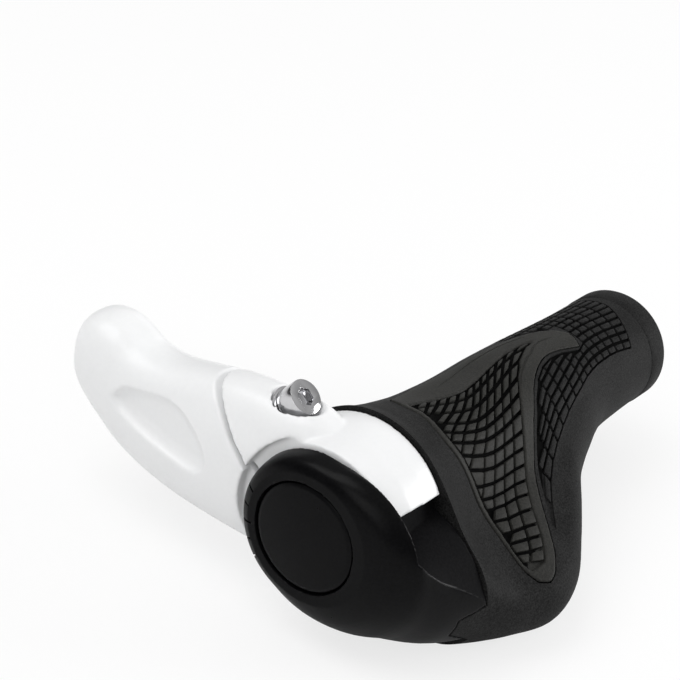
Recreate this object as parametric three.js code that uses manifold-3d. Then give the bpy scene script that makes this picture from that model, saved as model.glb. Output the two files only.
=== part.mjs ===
// Ergonomic handlebar grip with a clamp-on bar end, in millimetres, +Z up.
// X runs along the bar from the end cap to the inner end, +Y points forward to the bar end's
// tip, and the origin lies on the bar's axis at the outer face of the end cap.
import * as THREE from 'three';
import { mergeVertices } from 'three/addons/utils/BufferGeometryUtils.js';
import Module from 'manifold-3d';

const wasm = await Module();
wasm.setup();

// Fits
const barRadius = 11.1;
const clearance = 0.3;

// Lengths along the bar
const gripLength = 138;
const bandStart = 6.3;
const bandEnd = 23.7;
const endRingWidth = 7.5;
const coreInset = 1.2;

// Core sleeve
const coreWall = 2;
const coreSlits = 4;
const coreSlitWidth = 1.6;
const coreSlitInset = 1.5;
const coreRadius = barRadius + coreWall;

// Rubber body
const endRingRadius = 15.4;
const tongueStart = 17.6;
const tongueTip = 5;
const tongueBase = 12;
const tongueRoot = 27;
const boreChamfer = 1.2;
const formBlend = 7;

// End cover and end plug
const plugRadius = 13.2;
const plugThickness = 2.4;
const plugStemRadius = 9;
const plugStemLength = 17;
const plugStemWall = 1.6;
const plugStemSlit = 2;
const plugRibs = 3;
const plugRibHeight = 0.5;
const scaleMarks = 5;
const scaleMarkPitch = 15;
const scaleMarkWidth = 0.5;
const scaleMarkDepth = 0.4;

// Bar end and its clamp
const ringRadius = 17.1;
const floorRadius = 18.9;
const lipAngle = 118;
const floorAngle = 134;
const channelStart = bandStart - clearance;
const hornSquareness = 2.5;
const scaleMarkSlope = 30;
const hollowDepth = 2.6;
const bandStartRadius = 20.2;
const bandEndRadius = 21.6;
const tailAngle = 147;
const wingAngle = 203;
const splitWidth = 1.4;
const hornRecessRadius = 21.6;

// Clamp bolt, washer and nut
const boltRadius = 2.5;
const boltHeadRadius = 4.25;
const boltHeadHeight = 5;
const boltLength = 22;
const boltHexRadius = 2.3;
const boltHexDepth = 2.6;
const boltCentre = new THREE.Vector3(13.5, 14.9, 24.2);
const boltLean = 52;
const washerRadius = 4.9;
const washerThickness = 1;
const nutFlats = 8;
const nutHeight = 4;
const nutDepth = 24.6;

// Palm inlays
const inlayDepth = 1.6;
const inlayProud = 0.25;
const leafEndPull = 2.5;

// Blocks on the palm inlay and beside it
const fieldSink = 0.7;
const blockLength = 4.4;
const groove = 0.7;
const fieldSlack = 0.12;
const sideSink = 0.5;
const sideProud = 0.05;
const sideLength = 5;
const sideLengthInner = 3.4;
const sideRows = 11;
const leafNose = 104.5;

const degrees = Math.PI / 180;
const bodyStart = bandEnd + 2 * clearance;

// The outer form at stations along the bar: the round tube, and the wing's edge as a circle at
// (wingY, wingZ) of its own radius, joined to the tube by a web as thick as the neck
const formStations = [
  { x: 0, tube: 15.6, wingY: -1, wingZ: 0, wing: 15.8, neck: 15.6 },
  { x: 0.8, tube: 17.2, wingY: -2, wingZ: -0.2, wing: 17.6, neck: 17.2 },
  { x: 2, tube: 18, wingY: -3.6, wingZ: -0.8, wing: 19, neck: 18 },
  { x: 4, tube: 18.3, wingY: -5.6, wingZ: -1.4, wing: 20.1, neck: 18.3 },
  { x: 6, tube: 18.4, wingY: -7.6, wingZ: -2.1, wing: 20.3, neck: 18.4 },
  { x: 9, tube: 19, wingY: -11.6, wingZ: -4.4, wing: 18, neck: 19.4 },
  { x: 15, tube: 20.6, wingY: -17, wingZ: -8.6, wing: 15.6, neck: 20.2 },
  { x: 24, tube: 21.3, wingY: -20.2, wingZ: -11.4, wing: 15.8, neck: 20.2 },
  { x: 29, tube: 20.8, wingY: -26.6, wingZ: -14.2, wing: 11.6, neck: 15.4 },
  { x: 35, tube: 19.5, wingY: -32.4, wingZ: -15.9, wing: 8.4, neck: 11.8 },
  { x: 45, tube: 17.8, wingY: -35.8, wingZ: -15.8, wing: 8.3, neck: 10.2 },
  { x: 55, tube: 17, wingY: -34.2, wingZ: -14, wing: 8.2, neck: 9.8 },
  { x: 64, tube: 16.6, wingY: -28.4, wingZ: -10.4, wing: 8.4, neck: 10.4 },
  { x: 71, tube: 16.5, wingY: -23, wingZ: -7.6, wing: 8.8, neck: 11.4 },
  { x: 79, tube: 16.4, wingY: -16.6, wingZ: -5, wing: 9.4, neck: 12.4 },
  { x: 87, tube: 16.2, wingY: -11.5, wingZ: -3.6, wing: 10.8, neck: 13 },
  { x: 93, tube: 16, wingY: -8.2, wingZ: -2.6, wing: 11.8, neck: 13.6 },
  { x: 99, tube: 15.8, wingY: -5, wingZ: -1.6, wing: 12.8, neck: 14 },
  { x: 106, tube: 15.6, wingY: -2, wingZ: -0.6, wing: 14.2, neck: 14.6 },
  { x: 117, tube: 15.3, wingY: -0.6, wingZ: 0, wing: 15, neck: 15 },
  { x: 138, tube: 15.2, wingY: 0, wingZ: 0, wing: 15, neck: 15 },
];

// Smooth value of one size between its stations
function along(stations, place, key, at) {
  let i = 0;
  while (i < stations.length - 2 && at > stations[i + 1][place]) i += 1;
  const slope = (j) => {
    const before = stations[Math.max(j - 1, 0)];
    const after = stations[Math.min(j + 1, stations.length - 1)];
    return (after[key] - before[key]) / (after[place] - before[place]);
  };
  const a = stations[i];
  const b = stations[i + 1];
  const span = b[place] - a[place];
  const t = THREE.MathUtils.clamp((at - a[place]) / span, 0, 1);
  const t2 = t * t;
  const t3 = t2 * t;
  return (2 * t3 - 3 * t2 + 1) * a[key] + (t3 - 2 * t2 + t) * span * slope(i)
    + (3 * t2 - 2 * t3) * b[key] + (t3 - t2) * span * slope(i + 1);
}

// Distance from a point to a tapered web between two circles
function webDistance(y, z, centreY, centreZ, nearRadius, farRadius) {
  const reach = Math.hypot(centreY, centreZ);
  const fall = nearRadius - farRadius;
  if (reach <= Math.abs(fall) + 1e-6) return Math.hypot(y, z) - Math.max(nearRadius, farRadius - reach);
  const lengthwise = (y * centreY + z * centreZ) / reach;
  const across = Math.abs(y * centreZ - z * centreY) / reach;
  const taper = fall / reach;
  const level = Math.sqrt(1 - taper * taper);
  const place = lengthwise * level - across * taper;
  if (place < 0) return Math.hypot(across, lengthwise) - nearRadius;
  if (place > level * reach) return Math.hypot(across, lengthwise - reach) - farRadius;
  return across * level + lengthwise * taper - nearRadius;
}

// Radius of the outer form at a place along the bar and an angle round it
function formRadius(x, angle) {
  const size = (key) => along(formStations, 'x', key, x);
  const tube = size('tube');
  const wingY = size('wingY');
  const wingZ = size('wingZ');
  const wing = size('wing');
  const neck = size('neck');
  const distance = (r) => {
    const y = r * Math.cos(angle);
    const z = r * Math.sin(angle);
    const round = r - tube;
    const web = webDistance(y, z, wingY, wingZ, neck, wing);
    const near = Math.max(formBlend - Math.abs(round - web), 0) / formBlend;
    return Math.min(round, web) - near * near * formBlend / 4 * Math.min(1, Math.hypot(wingY, wingZ) / 20);
  };
  let inside = 0;
  let outside = 70;
  for (let i = 0; i < 26; i += 1) {
    const middle = (inside + outside) / 2;
    if (distance(middle) > 0) outside = middle;
    else inside = middle;
  }
  return (inside + outside) / 2;
}

function formPoint(x, angle, lift = 0) {
  const r = formRadius(x, angle) + lift;
  return new THREE.Vector3(x, r * Math.cos(angle), r * Math.sin(angle));
}

// One section of the outer form, its points evenly spaced round the outline
function formSection(x, count) {
  const fine = 360;
  const outline = [];
  for (let i = 0; i < fine; i += 1) outline.push(formPoint(x, (i / fine) * 2 * Math.PI + Math.PI / 2));
  const travelled = [0];
  for (let i = 1; i <= fine; i += 1) {
    travelled.push(travelled[i - 1] + outline[i % fine].distanceTo(outline[i - 1]));
  }
  const points = [];
  let j = 0;
  for (let i = 0; i < count; i += 1) {
    const goal = (i / count) * travelled[fine];
    while (travelled[j + 1] < goal) j += 1;
    const t = (goal - travelled[j]) / (travelled[j + 1] - travelled[j]);
    points.push(outline[j % fine].clone().lerp(outline[(j + 1) % fine], t));
  }
  return points;
}

// Triangles that close a flat ring, wound the same way as the ring
function capOf(ring) {
  const size = new THREE.Box3().setFromPoints(ring).getSize(new THREE.Vector3());
  const thinnest = Math.min(size.x, size.y, size.z);
  const [u, v] = ['x', 'y', 'z'].filter((axis) => size[axis] !== thinnest);
  const flat = ring.map((p) => new THREE.Vector2(p[u], p[v]));
  const sense = Math.sign(THREE.ShapeUtils.area(flat));
  return THREE.ShapeUtils.triangulateShape(flat, []).map(([a, b, c]) => {
    const same = Math.sign(THREE.ShapeUtils.area([flat[a], flat[b], flat[c]])) === sense;
    return same ? [a, b, c] : [a, c, b];
  });
}

// Side faces between one ring of points and the next
function sidesOf(rings) {
  const count = rings[0].length;
  const index = [];
  for (let r = 0; r < rings.length - 1; r += 1) {
    for (let i = 0; i < count; i += 1) {
      const a = r * count + i;
      const b = r * count + (i + 1) % count;
      index.push(a, b, b + count, a, b + count, a + count);
    }
  }
  return index;
}

function facesOf(points, index) {
  const geometry = new THREE.BufferGeometry();
  const places = points.flatMap((p) => [p.x, p.y, p.z]);
  geometry.setAttribute('position', new THREE.Float32BufferAttribute(places, 3));
  geometry.setIndex(index);
  return geometry;
}

// A closed loft through flat rings of points
function loft(rings) {
  const end = (rings.length - 1) * rings[0].length;
  const index = sidesOf(rings);
  capOf(rings[0]).forEach(([a, b, c]) => index.push(a, c, b));
  capOf(rings[rings.length - 1]).forEach(([a, b, c]) => index.push(end + a, end + b, end + c));
  return facesOf(rings.flat(), index);
}

// A closed loft through flat strips, each a ring of two facing rows of points
function stripLoft(rings) {
  const count = rings[0].length;
  const end = (rings.length - 1) * count;
  const index = sidesOf(rings);
  for (let i = 0; i < count / 2 - 1; i += 1) {
    const facing = count - 1 - i;
    index.push(i, facing, facing - 1, i, facing - 1, i + 1);
    index.push(end + i, end + facing - 1, end + facing, end + i, end + i + 1, end + facing - 1);
  }
  return facesOf(rings.flat(), index);
}

// Solids for cutting and joining
function solid(geometry) {
  const bare = geometry.clone();
  bare.deleteAttribute('normal');
  bare.deleteAttribute('uv');
  const merged = mergeVertices(bare, 1e-4);
  const vertProperties = new Float32Array(merged.attributes.position.array);
  const triVerts = new Uint32Array(merged.index.array);
  const corner = (i) => new THREE.Vector3().fromArray(vertProperties, 3 * i);
  let volume = 0;
  for (let i = 0; i < triVerts.length; i += 3) {
    volume += corner(triVerts[i]).dot(corner(triVerts[i + 1]).cross(corner(triVerts[i + 2])));
  }
  if (volume < 0) {
    for (let i = 0; i < triVerts.length; i += 3) {
      [triVerts[i + 1], triVerts[i + 2]] = [triVerts[i + 2], triVerts[i + 1]];
    }
  }
  return new wasm.Manifold(new wasm.Mesh({ numProp: 3, vertProperties, triVerts }));
}

function surface(manifold) {
  const mesh = manifold.getMesh();
  const geometry = new THREE.BufferGeometry();
  geometry.setAttribute('position', new THREE.BufferAttribute(new Float32Array(mesh.vertProperties), 3));
  geometry.setIndex(new THREE.BufferAttribute(new Uint32Array(mesh.triVerts), 1));
  return geometry;
}

// A turned piece about the bar's axis, from a profile of (place, radius) pairs
function turned(profile, segments = 48) {
  const points = profile.map(([x, r]) => new THREE.Vector2(r, x));
  points.push(points[0].clone());
  const geometry = new THREE.LatheGeometry(points, segments);
  geometry.rotateZ(-Math.PI / 2);
  return geometry;
}

function tubeAlongBar(from, to, inner, outer, segments = 48) {
  return turned([[from, inner], [to, inner], [to, outer], [from, outer]], segments);
}

function rodAlongBar(from, to, radius, segments = 48) {
  const geometry = new THREE.CylinderGeometry(radius, radius, to - from, segments);
  geometry.rotateZ(-Math.PI / 2);
  geometry.translate((from + to) / 2, 0, 0);
  return geometry;
}

function boxBetween(low, high) {
  const size = new THREE.Vector3().subVectors(high, low);
  const geometry = new THREE.BoxGeometry(size.x, size.y, size.z);
  geometry.translate((low.x + high.x) / 2, (low.y + high.y) / 2, (low.z + high.z) / 2);
  return geometry;
}

// Places a shape made round the Z axis onto the clamp bolt's axis, Z pointing out of the head
const boltAxis = new THREE.Vector3(0, -Math.cos(boltLean * degrees), Math.sin(boltLean * degrees));
const boltPlace = new THREE.Matrix4().compose(
  boltCentre,
  new THREE.Quaternion().setFromUnitVectors(new THREE.Vector3(0, 0, 1), boltAxis),
  new THREE.Vector3(1, 1, 1),
);

function rodOnBolt(from, to, radius, segments = 24) {
  const geometry = new THREE.CylinderGeometry(radius, radius, to - from, segments);
  geometry.rotateX(Math.PI / 2);
  geometry.translate(0, 0, (from + to) / 2);
  geometry.applyMatrix4(boltPlace);
  return geometry;
}

// Core sleeve: a stiff tube with long slits under the clamp, so that it can close on the bar
function coreSleeve() {
  let sleeve = solid(tubeAlongBar(plugThickness + clearance, gripLength - coreInset, barRadius, coreRadius));
  for (let i = 0; i < coreSlits; i += 1) {
    const slit = boxBetween(
      new THREE.Vector3(bandStart + coreSlitInset, 0, -coreSlitWidth / 2),
      new THREE.Vector3(bandEnd - coreSlitInset, coreRadius + 1, coreSlitWidth / 2),
    );
    slit.rotateX(((i + 0.5) / coreSlits) * 2 * Math.PI);
    sleeve = sleeve.subtract(solid(slit));
  }
  return surface(sleeve);
}

// The outer form between two places, as one solid
function formSolid(places, count) {
  return solid(loft(places.map((x) => formSection(x, count))));
}

function steps(from, to, count) {
  return Array.from({ length: count + 1 }, (_, i) => from + ((to - from) * i) / count);
}

// Outline of the palm inlay on the form, as (place along the bar, angle) pairs that face each other
// across the leaf, from its tip on the wing to its broad end, and the broad end's own edge
const inlaySides = [
  { near: [41, 192.9], far: [43.6, 192.9] },
  { near: [39.8, 191.6], far: [47.4, 191.5] },
  { near: [39.7, 188.9], far: [51.7, 189.3] },
  { near: [40, 182], far: [56.4, 184.8] },
  { near: [38.7, 165.5], far: [61.7, 176.4] },
  { near: [36.8, 140], far: [66, 163.3] },
  { near: [35.2, 119], far: [70.8, 141.7] },
  { near: [36, 99], far: [78.6, 116.3] },
  { near: [35.6, 83], far: [90, 102.6] },
  { near: [37.4, 68], far: [103, 111] },
];
const inlayEdge = [
  [37.4, 68], [46, 61], [58, 56.5], [72, 56], [84, 58.5], [93.5, 66.5], [100.5, 78], [104.4, 95], [103, 111],
];

// Lines between the rows of blocks: how far from the leaf's tip each one is at its lowest, and
// where it starts and ends across the leaf
const blockLines = [
  { at: 0.1, near: 0.2, far: 0.36 },
  { at: 0.15, near: 0.1, far: 0.7 },
  { at: 0.204, near: 0.08, far: 0.78 },
  { at: 0.242, near: 0.08, far: 0.82 },
  { at: 0.277, near: 0.08, far: 0.83 },
  { at: 0.315, near: 0.08, far: 0.84 },
  { at: 0.351, near: 0.08, far: 0.86 },
  { at: 0.388, near: 0.08, far: 0.86 },
  { at: 0.434, near: 0.075, far: 0.85 },
  { at: 0.484, near: 0.07, far: 0.83 },
  { at: 0.531, near: 0.07, far: 0.81 },
  { at: 0.579, near: 0.06, far: 0.8 },
  { at: 0.618, near: 0.055, far: 0.79 },
  { at: 0.653, near: 0.05, far: 0.79 },
  { at: 0.696, near: 0.045, far: 0.79 },
  { at: 0.737, near: 0.04, far: 0.79 },
  { at: 0.768, near: 0.035, far: 0.79 },
];

function curveThrough(points) {
  return new THREE.SplineCurve(points.map(([x, angle]) => new THREE.Vector2(x, angle)));
}

// A place on a leaf: u runs from its tip to its broad end, v from its near side to its far side
function leaf(sides, edge) {
  const near = curveThrough(sides.map((side) => side.near));
  const far = curveThrough(sides.map((side) => side.far));
  const end = curveThrough(edge);
  const extended = (curve, t) => {
    const inside = THREE.MathUtils.clamp(t, 0, 1);
    const slope = curve.getPoint(Math.min(inside + 0.01, 1)).sub(curve.getPoint(Math.max(inside - 0.01, 0)));
    const step = Math.min(inside + 0.01, 1) - Math.max(inside - 0.01, 0);
    return curve.getPoint(inside).addScaledVector(slope, (t - inside) / step);
  };
  return (u, v) => {
    const across = extended(near, u).lerp(extended(far, u), v);
    const chord = near.getPoint(1).lerp(far.getPoint(1), v);
    return across.addScaledVector(extended(end, v).sub(chord), Math.max(u, 0) ** leafEndPull);
  };
}

// A point of the form pushed out or in along its own normal
function liftedPoint(x, angle, lift) {
  const step = 0.02;
  const alongBar = formPoint(x + step, angle).sub(formPoint(x - step, angle));
  const round = formPoint(x, angle + step).sub(formPoint(x, angle - step));
  return formPoint(x, angle).addScaledVector(alongBar.cross(round).normalize(), -lift);
}

// Direction out of an edge that runs from one point to another, away from a point inside it
function outOfEdge(here, inner, before, after) {
  const run = after.clone().sub(before).normalize();
  const out = here.clone().sub(inner);
  return out.addScaledVector(run, -out.dot(run)).normalize();
}

// A skin that follows the form over a leaf, between two depths, and reaches past its edge by grow
function leafSkin(place, lower, deep, high, grow) {
  const rows = 14;
  const columns = 6;
  const on = (i, j, lift) => {
    const flat = place(i / rows, j / columns);
    return liftedPoint(flat.x, (lower ? mirrored(flat.y) : flat.y) * degrees, lift);
  };
  const at = (i, j, lift) => {
    const here = on(i, j, lift);
    const point = here.clone();
    if (j === 0 || j === columns) {
      const inner = on(i, j === 0 ? 1 : columns - 1, lift);
      const beside = [on(Math.max(i - 1, 0), j, lift), on(Math.min(i + 1, rows), j, lift)];
      point.addScaledVector(outOfEdge(here, inner, ...beside), grow);
    }
    if (i === 0 || i === rows) {
      const inner = on(i === 0 ? 1 : rows - 1, j, lift);
      const beside = [on(i, Math.max(j - 1, 0), lift), on(i, Math.min(j + 1, columns), lift)];
      point.addScaledVector(outOfEdge(here, inner, ...beside), grow);
    }
    return point;
  };
  const ring = (i, lift) => Array.from({ length: columns + 1 }, (_, j) => at(i, j, lift));
  const rings = Array.from({ length: rows + 1 }, (_, i) => [...ring(i, high), ...ring(i, deep).reverse()]);
  return solid(stripLoft(rings));
}

const inlayPlace = leaf(inlaySides, inlayEdge);

// A point of the form at a (place along the bar, angle), lifted along its normal
function onForm(flat, lift) {
  return liftedPoint(flat.x, flat.y * degrees, lift);
}

// Place on the leaf where a line between two rows of blocks crosses a share of the leaf's width
function onBlockLine(line, v) {
  const middle = 0.475 - 0.14 * line.at;
  return inlayPlace(line.at + 1.3 * line.at ** 2.3 * Math.abs(v - middle) ** 1.7, v);
}

// Width of the leaf along a line, in millimetres
function lineWidth(line) {
  const stations = steps(0, 1, 12).map((v) => onForm(onBlockLine(line, v), 0));
  return stations.slice(1).reduce((sum, p, i) => sum + p.distanceTo(stations[i]), 0);
}

// Places from one to another at a pitch, with no rest shorter than 0.4 of it
function spaced(from, to, pitch) {
  const sense = Math.sign(to - from);
  const places = [];
  for (let at = from; (to - at) * sense > 0.4 * pitch; at += sense * pitch) places.push(at);
  return [...places, to];
}

// Cells between one row of nodes and the next, the shorter row's last node used again
function cellsBetween(row, next, count = Math.max(row.length, next.length) - 1) {
  const at = (nodes, k) => nodes[Math.min(k, nodes.length - 1)];
  const ring = (_, k) => [at(row, k), at(next, k), at(next, k + 1), at(row, k + 1)];
  return Array.from({ length: count }, ring).map((cell) => [...new Set(cell)]);
}

// The blocks on a leaf, counted from the far side of each row
function inlayBlocks() {
  const nodes = [];
  const rows = blockLines.map((line) => {
    const share = blockLength / lineWidth(line);
    return spaced(line.far, line.near, share).map((v) => nodes.push(onBlockLine(line, v)) - 1);
  });
  return { nodes, cells: rows.slice(1).flatMap((next, i) => cellsBetween(rows[i], next)) };
}

// Small blocks beside the leaf: angles of their outer line, between their lines along the bar, and
// of the leaf's two sides
const sideLines = [
  { x: 60, outer: 184, pitch: 2.6, leaf: 182, front: 50 },
  { x: 65, outer: 178.8, pitch: 3.4, leaf: 172, front: 50 },
  { x: 70, outer: 173, pitch: 4.6, leaf: 152, front: 50 },
  { x: 75, outer: 166.5, pitch: 6.4, leaf: 131, front: 50 },
  { x: 80, outer: 160, pitch: 7.6, leaf: 117.5, front: 50 },
  { x: 85, outer: 154, pitch: 7.6, leaf: 110, front: 54 },
  { x: 90, outer: 148, pitch: 7.6, leaf: 106.8, front: 59.5 },
  { x: 95, outer: 142.5, pitch: 7.6, leaf: 108, front: 64.3 },
  { x: 98.4, outer: 138.5, pitch: 7.8, leaf: 111, front: 70.5 },
  { x: 101.8, outer: 136, pitch: 8, leaf: 114, front: 78 },
  { x: 105.2, outer: 134.4, pitch: 8.2, leaf: 118, front: 90 },
  { x: 114, outer: 134, pitch: 8.2, leaf: 118, front: 90 },
  { x: 122.2, outer: 138.5, pitch: 8.2, leaf: 118, front: 90 },
];

function sideBlocks() {
  const size = (key, x) => along(sideLines, 'x', key, x);
  const nodes = [];
  const node = (x, angle) => {
    const skew = 0.00055 * Math.max(x - 108, 0) ** 2 * Math.min(136 - angle, 50);
    return nodes.push({ x: x + skew, y: angle }) - 1;
  };
  const stations = [...steps(60, 95, 35 / sideLength), ...steps(98.4, 122.2, 23.8 / sideLengthInner)];
  const outerRows = stations.map((x) => {
    const outer = size('outer', x);
    const pitch = size('pitch', x);
    const inner = x < leafNose ? size('leaf', x) : outer - sideRows * pitch;
    return spaced(outer, inner, pitch).map((angle) => node(x, angle));
  });
  const first = stations.findIndex((x) => x > leafNose);
  const lowest = nodes[outerRows[first][sideRows]].y;
  const cells = outerRows.slice(1).flatMap((next, i) => {
    const row = outerRows[i];
    return cellsBetween(row, next, i === first - 1 ? row.length - 1 : undefined);
  });
  let next = [...outerRows[first]].reverse();
  for (let i = first - 1; stations[i] > 88; i -= 1) {
    const front = spaced(lowest, size('front', stations[i]), size('pitch', stations[first]));
    const row = front.map((angle) => node(stations[i], angle));
    cells.push(...cellsBetween(next, row, i === first - 1 ? row.length - 1 : undefined));
    next = row;
  }
  return { nodes, cells };
}

// Corners of a patch moved inwards from all its edges
function inset(corners, by) {
  const count = corners.length;
  return corners.map((corner, i) => {
    const ahead = corners[(i + 1) % count].clone().sub(corner).normalize();
    const behind = corners[(i + count - 1) % count].clone().sub(corner).normalize();
    const sine = Math.max(ahead.clone().cross(behind).length(), 0.5);
    return corner.clone().addScaledVector(ahead.add(behind), by / sine);
  });
}

// Nodes of a field on the form, those on its rim moved outwards
function placedNodes({ nodes, cells }, lift, grow) {
  const points = nodes.map((flat) => onForm(flat, lift));
  const moved = points.map((point) => point.clone());
  const rim = new Set(rimOf(cells).map(String));
  cells.forEach((cell) => cell.forEach((a, i) => {
    const b = cell[(i + 1) % cell.length];
    if (!rim.has(String([a, b]))) return;
    const inner = cell.reduce((sum, n) => sum.add(points[n]), new THREE.Vector3()).divideScalar(cell.length);
    const out = outOfEdge(points[a].clone().lerp(points[b], 0.5), inner, points[a], points[b]);
    moved[a].addScaledVector(out, grow / 2);
    moved[b].addScaledVector(out, grow / 2);
  }));
  return moved;
}

// Edges that only one cell has
function rimOf(cells) {
  const edges = cells.flatMap((cell) => cell.map((a, i) => [a, cell[(i + 1) % cell.length]]));
  const known = new Set(edges.map(String));
  return edges.filter(([a, b]) => !known.has(String([b, a])));
}

// A closed sheet over a field of cells. With a crown, each cell is a block that rises to it, and
// the grooves between the blocks are V-shaped
function fieldSheet(field, { deep, high, crown, grow = 0 }) {
  const points = [...placedNodes(field, high, grow), ...placedNodes(field, deep, grow)];
  const under = field.nodes.length;
  const index = [];
  const fan = (cell) => cell.slice(2).forEach((c, i) => index.push(cell[0], cell[i + 1], c));
  field.cells.forEach((cell) => {
    fan(cell.map((n) => n + under).reverse());
    if (crown === undefined) {
      fan(cell);
      return;
    }
    const top = inset(cell.map((n) => onForm(field.nodes[n], crown)), groove / 2)
      .map((point) => points.push(point) - 1);
    fan(top);
    cell.forEach((a, i) => {
      const j = (i + 1) % cell.length;
      index.push(a, cell[j], top[j], a, top[j], top[i]);
    });
  });
  rimOf(field.cells).forEach(([a, b]) => index.push(a, a + under, b + under, a, b + under, b));
  return solid(facesOf(points, index));
}

// Sinks a field of blocks into a surface
function withBlocks(base, field, sink, crown) {
  return base
    .subtract(fieldSheet(field, { deep: -sink - 0.3, high: 2, grow: fieldSlack }))
    .add(fieldSheet(field, { deep: -sink - 0.6, high: -sink, crown }));
}

// Palm inlay: a smooth border round a sunk field of blocks on top, and a smooth one below
function palmInlay(lower) {
  const skin = leafSkin(inlayPlace, lower, -inlayDepth, inlayProud, 0);
  return surface(lower ? skin : withBlocks(skin, inlayBlocks(), fieldSink, inlayProud));
}

// Rubber body: the round grip with its drooping palm wing and a plain raised ring at the inner end
function rubberBody() {
  const ringStart = gripLength - endRingWidth;
  const form = formSolid(steps(bodyStart, ringStart, 22), 32);
  const wingTongue = formSolid(steps(tongueStart - 1, bodyStart + 2, 3), 32).intersect(tongue(0));
  const ring = solid(turned([
    [ringStart - 1, 10],
    [gripLength, 10],
    [gripLength, endRingRadius - 0.8],
    [gripLength - 0.8, endRingRadius],
    [ringStart, endRingRadius],
  ]));
  const bore = solid(rodAlongBar(bodyStart - 1, gripLength - coreInset, coreRadius + clearance, 40));
  const mouth = solid(turned([
    [gripLength - coreInset - 1, 0],
    [gripLength - coreInset - 1, barRadius],
    [gripLength - boreChamfer, barRadius],
    [gripLength + 1, barRadius + boreChamfer + 1],
    [gripLength + 1, 0],
  ]));
  const body = form
    .add(wingTongue)
    .add(ring)
    .subtract(bore)
    .subtract(mouth)
    .subtract(leafSkin(inlayPlace, false, -inlayDepth - clearance, 3, clearance))
    .subtract(leafSkin(inlayPlace, true, -inlayDepth - clearance, 3, clearance));
  return surface(withBlocks(body, sideBlocks(), sideSink, sideProud));
}

// A wedge round the bar between two angles
function wedge(from, to, [start, end], radius = 90) {
  const ring = (x) => [start, start, (start + end) / 2, end].map((angle, i) => {
    const r = i === 0 ? 0 : radius;
    return new THREE.Vector3(x, r * Math.cos(angle * degrees), r * Math.sin(angle * degrees));
  });
  return solid(loft([ring(from), ring(to)]));
}

function mirrored(angle) {
  return 2 * wingAngle - angle;
}

// The pocket that a tail of the clamp moves into, at stations along the bar: angles and radii of
// its floor from where it leaves the round to where it meets the outer form
const pocketStations = [
  { x: channelStart, angles: [166, 166.5, 167, 167.5], radii: [21.4, 23.9] },
  { x: 8.5, angles: [164.5, 168, 171, 174], radii: [22.3, 25.3] },
  { x: 12.4, angles: [162.5, 168.5, 175, 181], radii: [23, 26.8] },
  { x: 18, angles: [160, 168.5, 178, 187], radii: [23.6, 28.6] },
  { x: bodyStart - clearance + 0.01, angles: [157.5, 167, 180, 193], radii: [24.2, 30.4] },
];

function pocket(lower) {
  const place = (x, angle, r) => {
    const turn = (lower ? mirrored(angle) : angle) * degrees;
    return new THREE.Vector3(x, r * Math.cos(turn), r * Math.sin(turn));
  };
  const rings = pocketStations.map(({ x, angles, radii }) => {
    const crest = place(x, angles[3], formRadius(x, angles[3] * degrees));
    const rise = place(x, angles[2], radii[1]);
    const beyond = crest.clone().sub(rise).setLength(60).add(crest);
    return [
      place(x, floorAngle, floorRadius - 1.5),
      place(x, angles[0], floorRadius),
      place(x, angles[1], radii[0]),
      rise,
      crest,
      beyond,
      place(x, floorAngle, 90),
    ];
  });
  return solid(loft(rings)).subtract(solid(rodAlongBar(channelStart - 1, bodyStart + 1, floorRadius, 64)));
}

// The tongue that the rubber body has at the wing's edge, between the two pockets
function tongue(grow) {
  const outline = new THREE.Shape([
    new THREE.Vector2(tongueStart - grow, -tongueTip / 2 - grow / 2),
    new THREE.Vector2(bodyStart + 1, -tongueBase / 2 - grow),
    new THREE.Vector2(bodyStart + 1, tongueBase / 2 + grow),
    new THREE.Vector2(tongueStart - grow, tongueTip / 2 + grow / 2),
  ]);
  const root = tongueRoot - grow;
  const geometry = new THREE.ExtrudeGeometry(outline, { depth: 60 - root, bevelEnabled: false });
  geometry.translate(0, 0, root);
  const out = new THREE.Vector3(0, Math.cos(wingAngle * degrees), Math.sin(wingAngle * degrees));
  const alongBar = new THREE.Vector3(1, 0, 0);
  geometry.applyMatrix4(new THREE.Matrix4().makeBasis(alongBar, out.clone().cross(alongBar), out));
  return solid(geometry);
}

// End cover: the face round the plug, the rim, and the outer end of the wing behind the clamp
function endCover() {
  const end = bodyStart - clearance;
  const upperOpen = [-0.5, floorAngle + 0.2];
  const lowerOpen = [mirrored(floorAngle) - 360.2, 0.5];
  let cover = formSolid([0, 0.35, 0.8, 1.5, 2.5, 4, 6, 9, 13, 18, end], 44);
  cover = cover
    .subtract(solid(rodAlongBar(-1, plugThickness + clearance, plugRadius + clearance)))
    .subtract(solid(rodAlongBar(-1, channelStart + 1, coreRadius + clearance, 64)))
    .subtract(solid(rodAlongBar(channelStart, end + 1, ringRadius + clearance, 64)))
    .subtract(wedge(channelStart, end + 1, lowerOpen))
    .subtract(wedge(channelStart, end + 1, upperOpen))
    .subtract(pocket(false))
    .subtract(pocket(true))
    .subtract(tongue(clearance));
  for (let i = 0; i < scaleMarks; i += 1) {
    const mark = boxBetween(
      new THREE.Vector3(-1, i === 2 ? 14.2 : 15.6, -scaleMarkWidth / 2),
      new THREE.Vector3(scaleMarkDepth, 21, scaleMarkWidth / 2),
    );
    mark.translate(0, -15.4, 0);
    mark.rotateZ(-scaleMarkSlope * degrees);
    mark.translate(0, 15.4, 0);
    mark.rotateX((scaleMarkPitch * (1 - i)) * degrees);
    cover = cover.subtract(solid(mark));
  }
  return surface(cover);
}

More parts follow.
